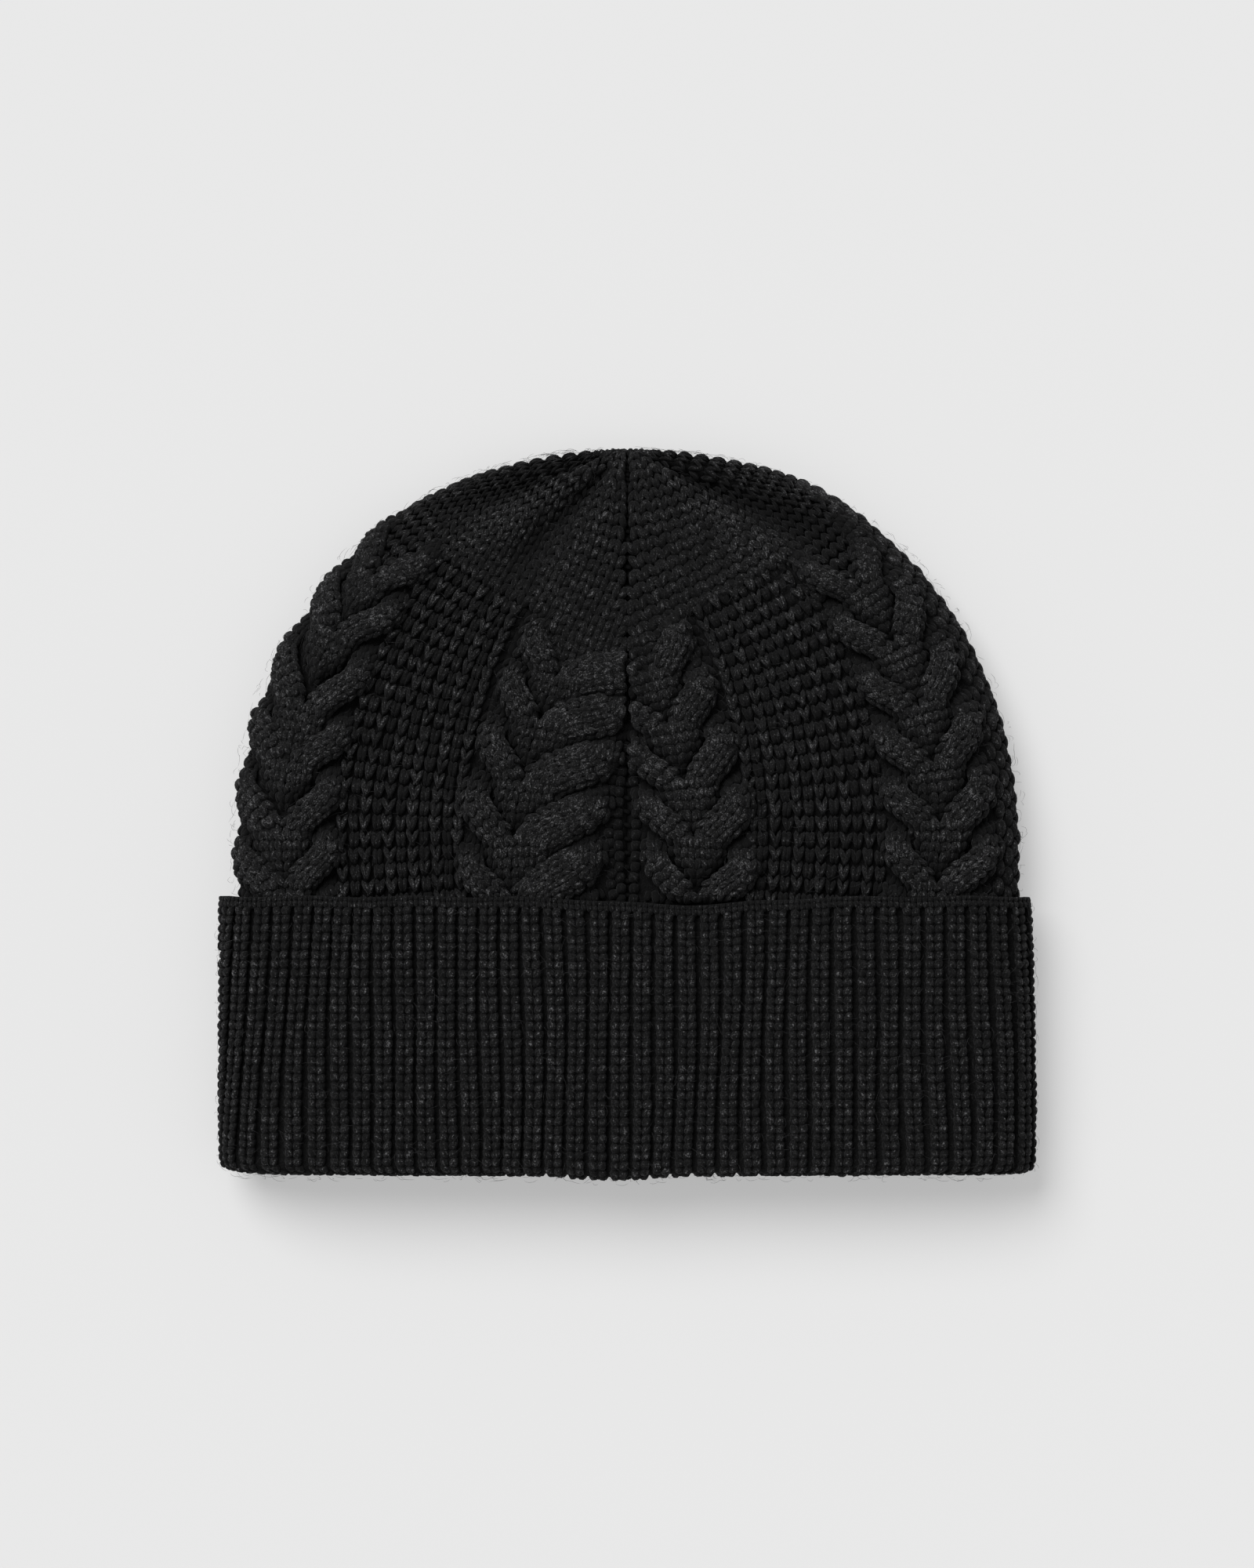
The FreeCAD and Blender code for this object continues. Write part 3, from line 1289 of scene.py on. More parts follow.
    def _crevice(self, across: Array, along: Array) -> Array:
        """Return how far the height where the yarn gets its darkest painted shade follows the folds of the
        cloth.
        """
        folds, trim = self.pleat(across, along), self.side_trim(across, along)
        return self.groove_light * folds - (1.0 - self.groove_light) * trim

    # ----- cables

    def _axis_arc(self, axis: float) -> tuple[Array, Array]:
        """Return the points and the arc lengths along a wale, given by its across coordinate."""
        along = self.chart.along
        line = self.chart.place(np.full(len(along), axis), along, np.zeros(len(along)))
        arc = np.concatenate([[0.0], np.cumsum(np.linalg.norm(np.diff(line, axis=0), axis=1))])
        return line, arc

    def add_cable(self, piece: Knit, cable: CableSpec, face: Face, rng: np.random.Generator) -> None:
        """Add one horseshoe cable's strands.

        Args:
            piece: the piece that they are added to.
            cable: the cable.
            face: front or back.
            rng: source of the small unevenness.
        """
        axis = self.wale(cable.axis, face)
        line, arc = self._axis_arc(axis)
        bottoms = np.array(cable.bottoms)
        starts = np.interp(bottoms, line[:, 1], arc) + np.minimum(bottoms - line[0, 1], 0.0)
        for low, high in zip(starts[:-1], starts[1:]):
            shift = cable.part_at * (high - low)
            for half, width in ((1.0, cable.outer_half), (-1.0, cable.inner_half)):
                outward = half * face.value * -1.0
                lean = cable.lean * face.value
                strand = Strand(axis, outward, width, float(low - shift), float(high - shift), lean)
                self._add_strand(piece, strand, arc, rng)

    def _strand_place(self, strand: Strand, tau: Array, lateral: Array,
                      arc: Array) -> tuple[Array, Array, Array]:
        """Lay places of a strand on the map, lower where the cloth presses them down.

        Args:
            strand: the strand.
            tau: progress through its crossing.
            lateral: places across it, from -1 to 1.
            arc: arc lengths along its axis.

        Returns:
            Across, along and height.
        """
        away, rise, height = strand.place(tau, lateral)
        across = strand.axis + strand.outward * away + strand.lean * (rise - LEAN_FROM)
        along = np.interp(rise, arc, self.chart.along)
        level_y = self.chart.read(across, along)[..., 1]
        under_cuff = 1.0 - smooth_step(level_y - self.form.cuff_top_y, -1.5, 1.0)
        sunk = self.cable_fade * smooth_step(level_y, self.cable_fade_y - 22.0, self.cable_fade_y)
        sunk = np.maximum(sunk, self.side_press * hump(across, 0.0, 12.0))
        height = height - sunk * np.maximum(height, 0.0)
        height = height * (1.0 - under_cuff) + np.minimum(height, -0.8) * under_cuff
        return across, along, height + self.pleat(across, along)

    def _add_strand(self, piece: Knit, strand: Strand, arc: Array, rng: np.random.Generator) -> None:
        """Add one strand's core and its stitches.

        Args:
            piece: the piece that they are added to.
            strand: the strand.
            arc: arc lengths along its axis.
            rng: source of the small unevenness.
        """
        pitch = strand.high - strand.low
        columns = 2 * max(int(round(strand.width * 0.5 / self.strand_leg)), 2)
        fine = np.linspace(-0.85, 1.42, 130)
        steps = np.hypot(np.diff(fine) * pitch, np.diff(strand.path(fine)))
        length = np.concatenate([[0.0], np.cumsum(steps)])
        rows = np.interp(np.arange(0.3, length[-1], self.cable_row), length, fine)
        tau, column = np.meshgrid(rows, np.arange(columns), indexing="ij")
        lateral = ((column + 0.5) / columns * 2.0 - 1.0) * 0.98
        leg = np.where(column % 2 == 0, -1.0, 1.0)
        across, along, height = self._strand_place(strand, tau, lateral, arc)
        ahead = self._strand_place(strand, tau + 0.03, lateral, arc)
        scale = self.chart.read(across, along)[..., 6:8]
        step_a = (ahead[0] - across) * scale[..., 0]
        step_b = (ahead[1] - along) * scale[..., 1]
        heading = np.arctan2(step_b, step_a)
        tilt = (ahead[2] - height) / np.maximum(np.hypot(step_a, step_b), 0.05)
        shape = tau.shape
        spacing = strand.width * 0.52 / columns
        where = Placement.make(
            across + uneven(rng, 0.10, shape),
            along,
            height + uneven(rng, 0.12, shape),
            spacing * 1.5,
            self.cable_row * 1.55,
            1.9,
            heading - 0.5 * math.pi + leg * strand.outward * 0.32 + uneven(rng, 0.07, shape),
            np.clip(tilt, -0.9, 0.9),
            0.3 + self._crevice(across, along),
            3.0,
        )
        piece.add(self.chart, LEG, where.keep(self.on_cloth(where)), int(strand.low * 10) % 997)
        self._add_core(piece, strand, arc)

    def _add_core(self, piece: Knit, strand: Strand, arc: Array) -> None:
        """Add the closed core under a strand's stitches.

        Args:
            piece: the piece that it is added to.
            strand: the strand.
            arc: arc lengths along its axis.
        """
        tau = np.linspace(-0.95, 1.45, 28)
        upper = np.linspace(-0.96, 0.96, 7)
        lower = upper[1:-1][::-1]
        ring = np.concatenate([upper, lower])
        under = np.concatenate([np.zeros(len(upper)), np.ones(len(lower))])
        tau_grid, ring_grid = np.meshgrid(tau, ring, indexing="ij")
        across, along, height = self._strand_place(strand, tau_grid, ring_grid, arc)
        height = height - 0.55 - 1.7 * under[None, :]
        row = self.chart.read(across, along)
        inside = (row[..., 0] > 0.8).any(axis=1) & (row[..., 1] > self.form.join_y).any(axis=1)
        points = self.chart.place(self._stay_inside(across, along), along, height)[inside]
        rows = len(points)
        if rows < 3:
            return
        columns = len(ring)
        faces = grid_faces(rows, columns, wrap=True)
        caps = [np.arange(columns)[None, ::-1], (rows - 1) * columns + np.arange(columns)[None]]
        uvs = np.stack([ring_grid[inside].ravel() * 3.0, tau_grid[inside].ravel() * 6.0], 1)
        reverse = self.chart.mirrored != (strand.outward > 0)
        piece.add_mesh(points.reshape(-1, 3), (faces, *caps), uvs, reverse)

    def _stay_inside(self, across: Array, along: Array) -> Array:
        """Return across values held back from the centre seam."""
        row = self.chart.read(across, along)
        short = np.maximum(1.0 - row[..., 0], 0.0) / np.maximum(row[..., 6], 0.2)
        return across - np.sign(across) * short

    # ----- waffle, purl and crown

    def add_waffle(self, piece: Knit, face: Face, rng: np.random.Generator) -> None:
        """Add a face's band of waffle: columns of raised knots between columns of flatter ones.

        Args:
            piece: the piece that they are added to.
            face: front or back.
            rng: source of the small unevenness.
        """
        band = self._waffle(face)
        rows = self._courses(face)
        number = int(round((band.high - band.low) / self.bead_pitch))
        for column in range(number):
            from_seam = band.low + (column + 0.5) * (band.high - band.low) / number
            across = np.full(len(rows), self.wale(from_seam, face))
            shape = rows.shape
            raised = column % 2 == 0
            sway = uneven(rng, 0.18, shape)
            shift = uneven(rng, 0.18, shape)
            level = (0.55 if raised else 0.0) + uneven(rng, 0.18, shape)
            size = 1.0 + uneven(rng, 0.07, shape)
            for leg in (-1.0, 1.0):
                stitch = Placement.make(
                    across + sway + leg * (0.46 if raised else 0.55),
                    rows + shift,
                    level,
                    (1.75 if raised else 1.85) * size,
                    self.bead_row * (1.34 if raised else 1.16),
                    2.5 if raised else 2.2,
                    -leg * (0.30 if raised else 0.12) + uneven(rng, 0.10, shape),
                    base=-0.5,
                    span=1.7,
                )
                piece.add(self.chart, LEG, stitch.keep(self.on_cloth(stitch)), 17 + column)

    def add_purl(self, piece: Knit, columns: Sequence[float], pitch: float, row: float, level: float,
                 top: float, face: Face, rng: np.random.Generator) -> None:
        """Add columns of purl bumps.

        Args:
            piece: the piece that they are added to.
            columns: distances of the columns from the centre seam.
            pitch: distance between columns.
            row: distance between rows.
            level: height above the cloth.
            top: height in Y where they end.
            face: front or back.
            rng: source of the small unevenness.
        """
        for number, column in enumerate(columns):
            wale = self.wale(column, face)
            rows = self._rows(wale, row, self.form.cuff_top_y - self.hidden, top) + 0.5 * row * (number % 2)
            across = np.full(len(rows), wale) + uneven(rng, 0.15, len(rows))
            level_here = level + uneven(rng, 0.15, len(rows)) + self.pleat(across, rows)
            where = Placement.make(across, rows, level_here, pitch * 1.2, row * 1.12, 2.1,
                                   uneven(rng, 0.15, len(rows)),
                                   base=-0.9 - self.side_trim(across, rows), span=1.9)
            piece.add(self.chart, BEAD, where.keep(self.on_cloth(where, 0.5)), 9 + number)

    def add_crown(self, piece: Knit, face: Face, rng: np.random.Generator) -> None:
        """Add the plain knit of the crown, above the waffle and round the cables' ends.

        Args:
            piece: the piece that it is added to.
            face: front or back.
            rng: source of the small unevenness.
        """
        tiers = ((20.0, 91.0, 1.0), (91.0, self.form.crown_y - 0.4, 2.0))
        for low_y, high_y, merge in tiers:
            pitch = self.crown_leg * merge
            rows = self._rows(self.wale(34.0, face), self.crown_row, 15.0, self.form.crown_y)
            columns = np.arange(1.0, self.seam_reach, pitch)
            along, column = np.meshgrid(rows, columns, indexing="ij")
            leg = np.broadcast_to(np.where(np.arange(len(columns)) % 2 == 0, -1.0, 1.0), along.shape)
            across = column * face.value
            read = self.chart.read(across, along)
            shape = along.shape
            where = Placement.make(
                across,
                along,
                0.25 + self.pleat(across, along) + uneven(rng, 0.1, shape),
                np.minimum(pitch * read[..., 6] * 1.4, 2.9),
                self.crown_row * 1.55,
                1.7,
                leg * 0.34 + uneven(rng, 0.07, shape),
                base=-0.6 + self._crevice(across, along),
                span=1.7,
            )
            height = read[..., 1].ravel()
            free, rim = self._plain_above(column.ravel(), along.ravel(), height, face)
            where.height[rim] -= 1.4
            keep = self.on_cloth(where, 0.4) & (height > low_y) & (height <= high_y) & free
            piece.add(self.chart, LEG, where.keep(keep), 11)

    def _plain_above(self, column: Array, along: Array, height: Array, face: Face) -> tuple[Array, Array]:
        """Find the plain cloth.

        Args:
            column: distances from the side fold.
            along: places along the wales.
            height: heights in Y.
            face: front or back.

        Returns:
            Which places are plain cloth, and which of them are sunk beside a cable.
        """
        nearest, farthest = self._cabled(face)
        channel = column > self.seam_reach - nearest
        edge = column < self.seam_reach - farthest
        above = (~channel | (height > self.channel_top)) & (~edge | (height > self.edge_top))
        core = np.zeros(len(column), bool)
        free = above & (channel | edge | (along > self._courses(face)[-1] + 1.6))
        for cable in self._cables(face):
            axis = self.wale(cable.axis, face)
            line, arc = self._axis_arc(axis)
            starts = np.interp(np.array(cable.bottoms[-2:]), line[:, 1], arc)
            top = starts[0] + 0.06 * (starts[1] - starts[0])
            here = np.interp(along, self.chart.along, arc)
            offset = column - abs(axis) - cable.lean * (here - LEAN_FROM)
            band = (offset > -cable.outer_half) & (offset < cable.inner_half)
            free = np.where(band, here > top, free)
            core |= (offset > -0.72 * cable.outer_half) & (offset < 0.72 * cable.inner_half)
        rim = ~free & ~core & ~self._in_waffle(column, face) & (along > 4.0)
        return free | rim, rim

    def _in_waffle(self, column: Array, face: Face) -> Array:
        """Return which columns, by distance from the side fold, are in the waffle band."""
        band = self._waffle(face)
        from_seam = self.seam_reach - column
        return (from_seam > band.low - 0.3) & (from_seam < band.high + 0.3)

    # ----- pieces

    def cloth(self, material: bpy.types.Material) -> bpy.types.Object:
        """Make the closed shell of cloth under the stitches, from seam to seam.

        Args:
            material: the yarn.

        Returns:
            The piece.
        """
        form = self.form
        piece = Knit(f"{self.side.name.lower()}_body_cloth")
        picks = np.unique(np.concatenate([np.arange(0, len(self.y_rows), 6), [len(self.y_rows) - 1]]))
        share = np.linspace(-1.0, 1.0, 161)
        layers = []
        for full_depth in (1.15, 3.3):
            rows = []
            for pick in picks:
                y = float(self.y_rows[pick])
                depth = full_depth - 0.55 * float(smooth_step(np.array(y), 66.0, 92.0))
                inner_y = form.widest_y + (y - form.widest_y) * (1.0 - depth / form.crown_rise)
                width = max(float(self.edge_rows[pick]) - depth, 0.4)
                thick = max(float(form.half_thickness(np.array(y))) - depth, 0.25)
                x, z = form.quarter(width, thick, REACH)
                from_side = np.abs(share) * float(np.interp(0.0, -x, REACH))
                px = np.interp(from_side, REACH, x)
                groove = 1.3 * hump(px, 0.0, 1.1) if depth < 2.0 else 0.0
                pz = np.interp(from_side, REACH, z) - groove
                pz = np.maximum(pz + self.fold_height(px, np.full(len(share), y), share > 0.0), 0.0)
                pz = pz * np.sign(share)
                middle = float(form.body_middle(np.array(y)))
                past_seam = px - 0.9 * (1.0 - share**2)
                rows.append(np.stack([past_seam, np.full(len(share), inner_y), middle + pz], 1))
            layers.append(np.array(rows))
        outer, inner = layers
        ring = np.concatenate([outer, inner[:, ::-1]], axis=1)
        count, columns = ring.shape[:2]
        if self.side is Side.LEFT:
            ring = ring * np.array([-1.0, 1.0, 1.0])
        faces = grid_faces(count, columns, wrap=True)
        half = len(share)
        caps = []
        for row in (0, count - 1):
            base = row * columns
            i = np.arange(half - 1)
            quad = np.stack([base + i, base + i + 1, base + columns - 2 - i, base + columns - 1 - i], 1)
            caps.append(quad if row else quad[:, ::-1])
        u, v = np.meshgrid(np.arange(columns) * 0.5, np.arange(count) * 0.5)
        uvs = np.stack([u.ravel(), v.ravel()], 1)
        piece.add_mesh(ring.reshape(-1, 3), (faces, *caps), uvs, self.side is Side.RIGHT)
        return piece.build(material)

    def fuzz(self, number: int, material: bpy.types.Material) -> bpy.types.Object:
        """Make loose fibres over this half.

        Args:
            number: how many are tried; those off the cloth are left out.
            material: the loose yarn.

        Returns:
            The piece.
        """
        rng = np.random.default_rng(80 + self.side.value)
        piece = Knit(f"{self.side.name.lower()}_body_fibres")
        across = rng.uniform(-self.seam_reach, self.seam_reach, number)
        along = rng.uniform(2.0, self.chart.along[-1] - 6.0, number)
        row = self.chart.read(across, along)
        keep = (row[:, 0] > 4.0) & (row[:, 1] > self.form.cuff_top_y + 1.0)
        Fuzz().add(piece, self.chart, across[keep], along[keep], rng)
        return piece.build(material)

    def knit(self, face: Face, material: bpy.types.Material) -> bpy.types.Object:
        """Make all stitches of this half on one face.

        Args:
            face: front or back.
            material: the yarn.

        Returns:
            The piece.
        """
        rng = np.random.default_rng(self.knit_seed + (0 if face is Face.FRONT else 100))
        piece = Knit(f"{self.side.name.lower()}_{face.name.lower()}_knit")
        for cable in self._cables(face):
            self.add_cable(piece, cable, face, rng)
        self.add_waffle(piece, face, rng)
        nearest, farthest = self._cabled(face)
        channel = np.arange(0.9, max(nearest, 1.2) + 0.6, self.channel_pitch)
        self.add_purl(piece, channel, self.channel_pitch, self.channel_row, -0.7, self.channel_top, face, rng)
        if farthest < self.seam_reach - 1.5:
            edge = np.arange(self.seam_reach, farthest - 0.5, -self.edge_step)
            self.add_purl(piece, edge, 2.9, self.edge_row, -0.1, self.edge_top, face, rng)
        self.add_crown(piece, face, rng)
        return piece.build(material)


# --------------------------------------------------------------------------- small pieces


@dataclass
class Fuzz:
    """Loose wool fibres that stand off the knit."""

    radius: float = 0.035
    steps: int = 6
    level: float = 0.7            # height above the cloth where they start

    def add(self, piece: Knit, chart: Chart, across: Array, along: Array, rng: np.random.Generator) -> None:
        """Add one bent fibre at each place.

        Args:
            piece: the piece that they are added to.
            chart: the map that they lie on.
            across: places across the wales.
            along: places along the wales.
            rng: source of their headings, lengths and curls.
        """
        number = len(across)
        share = np.linspace(0.0, 1.0, self.steps)[None, :]
        heading = rng.uniform(0.0, 2.0 * np.pi, number)[:, None]
        curl = rng.normal(0.0, 1.1, number)[:, None]
        length = (1.4 + rng.gamma(2.0, 0.9, number))[:, None]
        bearing = heading + curl * share
        step = length / (self.steps - 1)
        go_a = np.cumsum(np.cos(bearing) * step, axis=1)
        go_b = np.cumsum(np.sin(bearing) * step, axis=1)
        lift = rng.uniform(0.1, 1.0, number)[:, None]
        height = self.level + lift * np.sin(np.pi * share * rng.uniform(0.5, 1.0, number)[:, None])
        lines = chart.place(across[:, None] + go_a, along[:, None] + go_b, height)
        piece.add_tubes(lines, self.radius)


@dataclass
class Crest:
    """The strip along the middle of the body, where the seam and the crown's gather lie."""

    form: HatForm
    bar_pitch: float = 2.6        # distance between the bars of the seam's yarn
    bar_depth: float = 1.4        # how far they lie below the cloth's face
    gathers: int = 13             # rows of stitches drawn together at the crown, on one face

    def chart(self, face: Face) -> Chart:
        """Make the map of one face's strip: across is distance from the centre line.

        Args:
            face: front or back.

        Returns:
            The map.
        """
        form = self.form
        across = np.arange(-15.0, 15.1, 0.5)
        low = form.join_y - 1.0
        angle = np.linspace(math.asin((low - form.widest_y) / form.crown_rise), math.radians(89.0), 300)
        y = form.widest_y + form.crown_rise * np.sin(angle)
        y_grid, x_grid = np.meshgrid(y, across, indexing="ij")
        width = np.maximum(form.half_width(y_grid), 0.5)
        share = np.clip(np.abs(x_grid) / width, 0.0, 1.0)
        rise = form.half_thickness(y_grid) * np.sqrt(1.0 - share**form.edge_power)
        z = form.body_middle(y_grid) + face.value * rise
        points = np.stack([-face.value * x_grid, y_grid, z], 2)
        arc = np.linspace(0.0, 1.0, 300) * float(np.sum(np.hypot(np.diff(y), np.diff(z[:, 30]))))
        return Chart(across, arc, points)

    def seam(self, face: Face, material: bpy.types.Material) -> bpy.types.Object:
        """Make the sunken bars of the seam's yarn.

        Args:
            face: front or back.
            material: the yarn.

        Returns:
            The piece.
        """
        rng = np.random.default_rng(50 + face.value)
        chart = self.chart(face)
        piece = Knit(f"{face.name.lower()}_seam_yarn")
        along = np.arange(4.0, chart.along[-1] - 9.0, self.bar_pitch)
        shape = along.shape
        bars = Placement.make(
            uneven(rng, 0.1, shape), along, -self.bar_depth + uneven(rng, 0.1, shape),
            1.5, 3.0, 1.1, 0.5 * math.pi + 0.25 + uneven(rng, 0.1, shape))
        piece.add(chart, LEG, bars, 3)
        return piece.build(material)

    def gather(self, material: bpy.types.Material) -> bpy.types.Object:
        """Make the drawn-together stitches at the crown.

        Args:
            material: the yarn.

        Returns:
            The piece.
        """
        rng = np.random.default_rng(60)
        piece = Knit("crown_gather_yarn")
        for face in Face:
            chart = self.chart(face)
            top = float(chart.along[-1])
            for number, bearing in enumerate(np.linspace(-1.35, 1.35, self.gathers)):
                if abs(bearing) < 0.05:
                    continue
                reach = np.arange(1.2, 10.0, 1.9) + 0.4 * (number % 2)
                shape = reach.shape
                lift = 0.5 + 0.35 * math.cos(bearing * 7.0)
                where = Placement.make(
                    reach * np.sin(bearing), top - reach * np.cos(bearing),
                    lift + uneven(rng, 0.15, shape) - 0.5,
                    0.9 + 0.13 * reach, 2.8, 1.7, bearing + uneven(rng, 0.1, shape))
                piece.add(chart, LEG, where, 4 + number)
        return piece.build(material)


@dataclass
class CareLabel:
    """The blank label inside the cuff's back and its two stitches."""

    lift: float = 1.7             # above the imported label, onto the crests of the ribs
    thickness: float = 0.45
    stitch_radius: float = 0.25
    stitch_length: float = 6.0

    def build(self, tape: bpy.types.Material, thread: bpy.types.Material) -> list[bpy.types.Object]:
        """Make the label and its stitches.

        Args:
            tape: the label's finish.
            thread: the stitches' finish.

        Returns:
            The label and the stitches, as two pieces.
        """
        low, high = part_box("care_label")
        bpy.ops.object.select_all(action="DESELECT")
        bpy.ops.mesh.primitive_cube_add(size=1.0)
        label = bpy.context.active_object
        label.name = "care_label_tape"
        middle = (low + high) / 2.0
        label.scale = (high.x - low.x, high.y - low.y, self.thickness * MM)
        label.location = (middle.x, middle.y, low.z + (self.lift + self.thickness / 2.0) * MM)
        bpy.ops.object.transform_apply(location=True, rotation=True, scale=True)
        soften = label.modifiers.new("soften", "BEVEL")
        soften.width = 0.15 * MM
        soften.segments = 2
        bpy.ops.object.modifier_apply(modifier="soften")
        label.data.materials.append(tape)
        low_stitch, high_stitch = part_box("label_stitches")
        bpy.ops.object.select_all(action="DESELECT")
        made = []
        for side in (-1.0, 1.0):
            bpy.ops.mesh.primitive_cylinder_add(
                vertices=10, radius=self.stitch_radius * MM, depth=self.stitch_length * MM,
                rotation=(0.0, 0.5 * math.pi, 0.0))
            stitch = bpy.context.active_object
            middle_x = side * (high_stitch.x - 0.5 * self.stitch_length * MM)
            top_z = low.z + (self.lift + self.thickness + 0.2) * MM
            stitch.location = (middle_x, (low_stitch.y + high_stitch.y) / 2.0, top_z)
            made.append(stitch)
        bpy.ops.object.select_all(action="DESELECT")
        for stitch in made:
            stitch.select_set(True)
        bpy.context.view_layer.objects.active = made[0]
        bpy.ops.object.join()
        bpy.ops.object.transform_apply(location=True, rotation=True, scale=True)
        made[0].name = "care_label_thread"
        made[0].data.materials.append(thread)
        return [label, made[0]]


# --------------------------------------------------------------------------- stage


@dataclass(frozen=True)
class Studio:
    """Floor, soft light and the camera above the hat."""

    camera_height: float = 1.515
    subject_height: float = 0.015
    view_long_side: float = 0.423     # of what the camera sees at that height
    sensor: float = 36.0
    look_x: float = -0.0001
    look_y: float = 0.00814
    floor_size: float = 6.0
    floor_drop: float = 0.0002
    floor_shade: float = 0.45
    floor_glow: float = 0.36
    sky: float = 0.40
    key_power: float = 2.55
    key_spread: float = 38.0          # degrees that the key light fills
    key_from: tuple[float, float, float] = (-0.55, 0.75, 1.05)

    def build(self) -> None:
        """Make the stage."""
        scene = bpy.context.scene
        scene.view_settings.view_transform = "Standard"
        scene.view_settings.look = "None"
        bpy.ops.mesh.primitive_plane_add(size=self.floor_size, location=(0.0, 0.0, -self.floor_drop))
        floor = bpy.context.active_object
        floor.name = "floor"
        floor.data.materials.append(self._paper())
        world = bpy.data.worlds.new("studio")
        world.use_nodes = True
        sky = world.node_tree.nodes["Background"]
        sky.inputs["Color"].default_value = (1.0, 1.0, 1.0, 1.0)
        sky.inputs["Strength"].default_value = self.sky
        scene.world = world
        self._sun()
        self._camera()

    def _paper(self) -> bpy.types.Material:
        """Return the floor's pale paper, which glows a little so that shadows on it stay light."""
        paint = Paint("floor_paper")
        links = {
            "Base Color": (self.floor_shade, self.floor_shade, self.floor_shade, 1.0),
            "Roughness": 1.0,
            "Specular IOR Level": 0.0,
            "Emission Color": (1.0, 1.0, 1.0, 1.0),
            "Emission Strength": self.floor_glow,
        }
        return paint.finish(paint.node("ShaderNodeBsdfPrincipled", {}, links))

    def _sun(self) -> None:
        """Add the broad key light from the upper left."""
        data = bpy.data.lights.new("key_light", "SUN")
        data.angle = math.radians(self.key_spread)
        data.energy = self.key_power
        lamp = bpy.data.objects.new("key_light", data)
        towards = Vector(self.key_from)
        lamp.location = towards
        lamp.rotation_euler = towards.to_track_quat("Z", "Y").to_euler()
        bpy.context.scene.collection.objects.link(lamp)

    def _camera(self) -> None:
        """Add the camera that looks straight down."""
        data = bpy.data.cameras.new("camera")
        data.sensor_width = self.sensor
        data.lens = self.sensor * (self.camera_height - self.subject_height) / self.view_long_side
        camera = bpy.data.objects.new("camera", data)
        camera.location = (self.look_x, self.look_y, self.camera_height)
        bpy.context.scene.collection.objects.link(camera)
        bpy.context.scene.camera = camera


# --------------------------------------------------------------------------- main


def settle(piece: bpy.types.Object, slot: str, *nodes: str) -> None:
    """Ride a piece on the hat and hide the CAD nodes that it stands for.

    Args:
        piece: the finished piece.
        slot: its material slot's name, which is not used.
        nodes: the CAD nodes that it replaces.
    """
    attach(piece, "root")
    if nodes:
        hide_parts(*nodes)


def body_halves(form: HatForm) -> list[BodyHalf]:
    """Lay out the stitches of the left and right halves of the body.

    Args:
        form: the lying hat.

    Returns:
        The two halves.
    """
    back_inner = CableSpec(20.0, 15.5, 15.5, (-37.0, -21.0, -5.0, 11.0, 27.0, 42.0))
    back_side = CableSpec(81.8, 15.2, 17.0, (-43.0, -27.0, -11.0, 5.0, 21.0, 37.0, 53.0, 68.0))
    back_waffle = BandSpec(33.8, 67.8)
    left = BodyHalf(
        form, Side.LEFT,
        front_cables=[
            CableSpec(28.0, 25.0, 15.0, (-38.0, -21.5, -5.8, 10.6, 26.0, 39.5, 51.5), lean=0.10),
            CableSpec(90.5, 15.6, 19.0, (-50.0, -34.0, -18.3, -2.4, 15.5, 30.4, 50.4, 65.2, 78.0)),
        ],
        back_cables=[back_inner, back_side],
        front_waffle=BandSpec(41.8, 76.4),
        back_waffle=back_waffle,
        front_folds=[
            CrownFold(1.00, 0.13, 2.2, (34.0, 60.0)),
            CrownFold(0.74, 0.11, -2.2, (34.0, 60.0)),
            CrownFold(1.22, 0.09, -1.8, (34.0, 60.0)),
            CrownFold(0.40, 0.16, 0.9, (34.0, 60.0)),
        ],
        fold_trim=2.5,
        knit_seed=110,
    )
    right = BodyHalf(
        form, Side.RIGHT,
        front_cables=[
            CableSpec(15.0, 14.2, 17.2, (-38.0, -21.5, -5.4, 9.0, 25.0, 39.0, 52.0), lean=0.12),
            CableSpec(81.8, 15.2, 17.0, (-50.0, -34.0, -18.3, -2.0, 14.0, 30.0, 46.0, 62.0, 76.0)),
        ],
        back_cables=[back_inner, back_side],
        front_waffle=BandSpec(30.0, 67.8),
        back_waffle=back_waffle,
        front_folds=[
            CrownFold(0.90, 0.13, 1.8, (46.0, 78.0)),
            CrownFold(1.14, 0.09, -3.6, (46.0, 78.0)),
            CrownFold(1.33, 0.08, 1.2, (46.0, 78.0)),
            CrownFold(0.12, 0.12, -1.5, (8.0, 20.0)),
        ],
        fold_trim=1.5,
        knit_seed=120,
    )
    return [left, right]


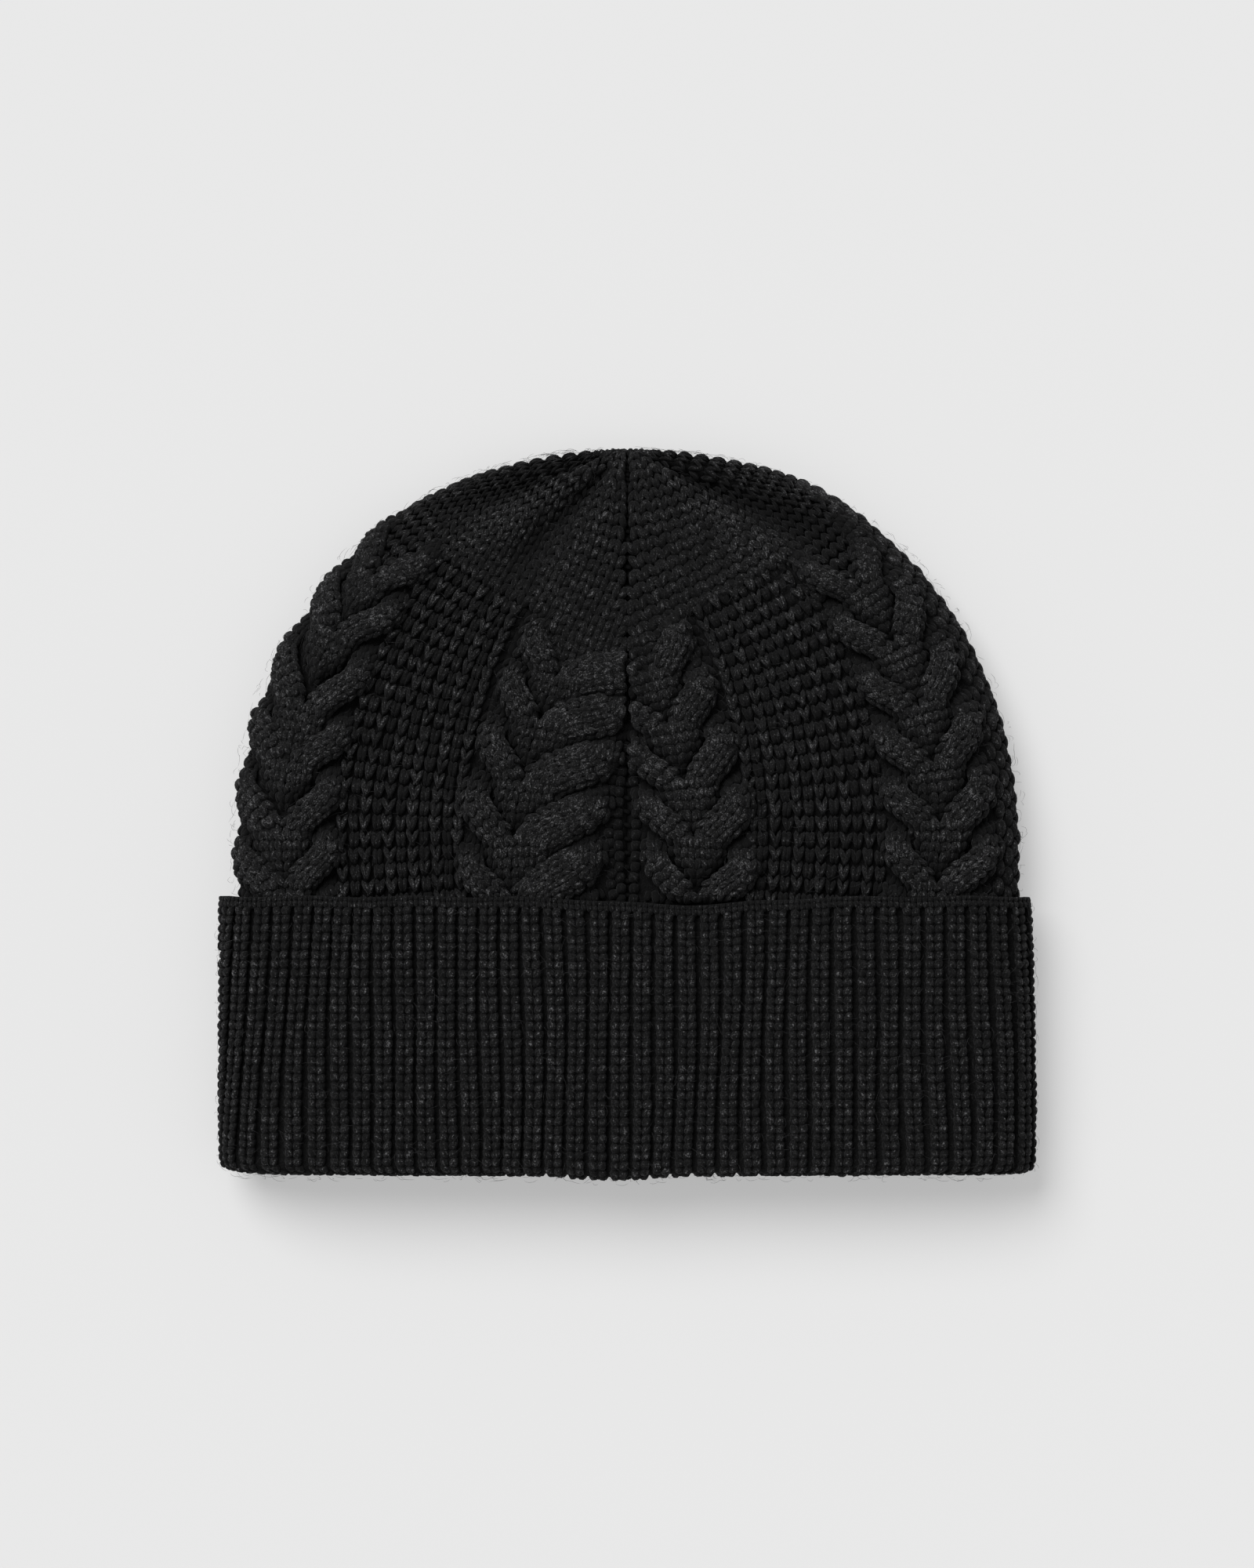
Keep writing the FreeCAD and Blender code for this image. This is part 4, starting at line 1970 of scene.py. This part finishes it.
def main() -> None:
    """Build the hat, its label and the stage."""
    logging.basicConfig(level=logging.INFO)
    bpy.ops.object.select_all(action="DESELECT")
    Studio().build()
    form = HatForm.from_frame()
    LOG.info("form %s", form)
    yarn = YarnFinish("charcoal_wool", (0.0015, 0.006, 0.019, 0.11)).material()
    loose = YarnFinish("loose_fibre", (0.015, 0.025, 0.045, 0.09), bump=0.0).material()
    # painted shade: a much darker copy of the wool, for the cloth shells and seam bars that show only in the
    # shaded gaps between stitches
    deep = YarnFinish("charcoal_wool_shaded", (0.001, 0.002, 0.004, 0.009), sheen=0.0).material()
    cuff = Cuff(form)
    settle(cuff.cloth(deep), "rib_knit", "cuff_fold")
    last_row = int((cuff.outer_length + cuff.fold_length) / cuff.row_pitch) + cuff.inside_rows
    layers = {"outer": range(1, cuff.outer_rows), "inner": range(cuff.outer_rows, last_row)}
    ribbed = [(layer, face) for layer in layers for face in Face]
    for seed, (layer, face) in enumerate(ribbed, start=1):
        node = f"cuff_{layer}_{face.name.lower()}"
        settle(cuff.stitches(f"{node}_ribs", face, layers[layer], yarn, seed), "rib_knit", node)
    for face in Face:
        settle(cuff.welt(face, yarn), "rib_knit")
    for half in body_halves(form):
        side = half.side.name.lower()
        settle(half.cloth(deep), "cable_knit")
        for face in Face:
            settle(half.knit(face, yarn), "cable_knit", f"{side}_{face.name.lower()}_panel")
        settle(half.fuzz(2600, loose), "cable_knit")
    crest = Crest(form)
    for face in Face:
        settle(crest.seam(face, deep), "seam_yarn", f"{face.name.lower()}_seam")
    settle(crest.gather(yarn), "cable_knit", "crown_gather")
    settle(cuff.seam(yarn), "seam_yarn", "cuff_seam")
    settle(cuff.fuzz(3200, loose), "rib_knit")
    tape = PlainFinish("label_tape", (0.012, 0.012, 0.013), (0.02, 0.02, 0.021), 3000.0, 0.6).material()
    thread = PlainFinish("label_thread", (0.03, 0.03, 0.032), (0.05, 0.05, 0.052), 5000.0, 0.7).material()
    label, stitches = CareLabel().build(tape, thread)
    settle(label, "label_tape", "care_label")
    settle(stitches, "label_thread", "label_stitches")


if __name__ == "__main__":
    main()
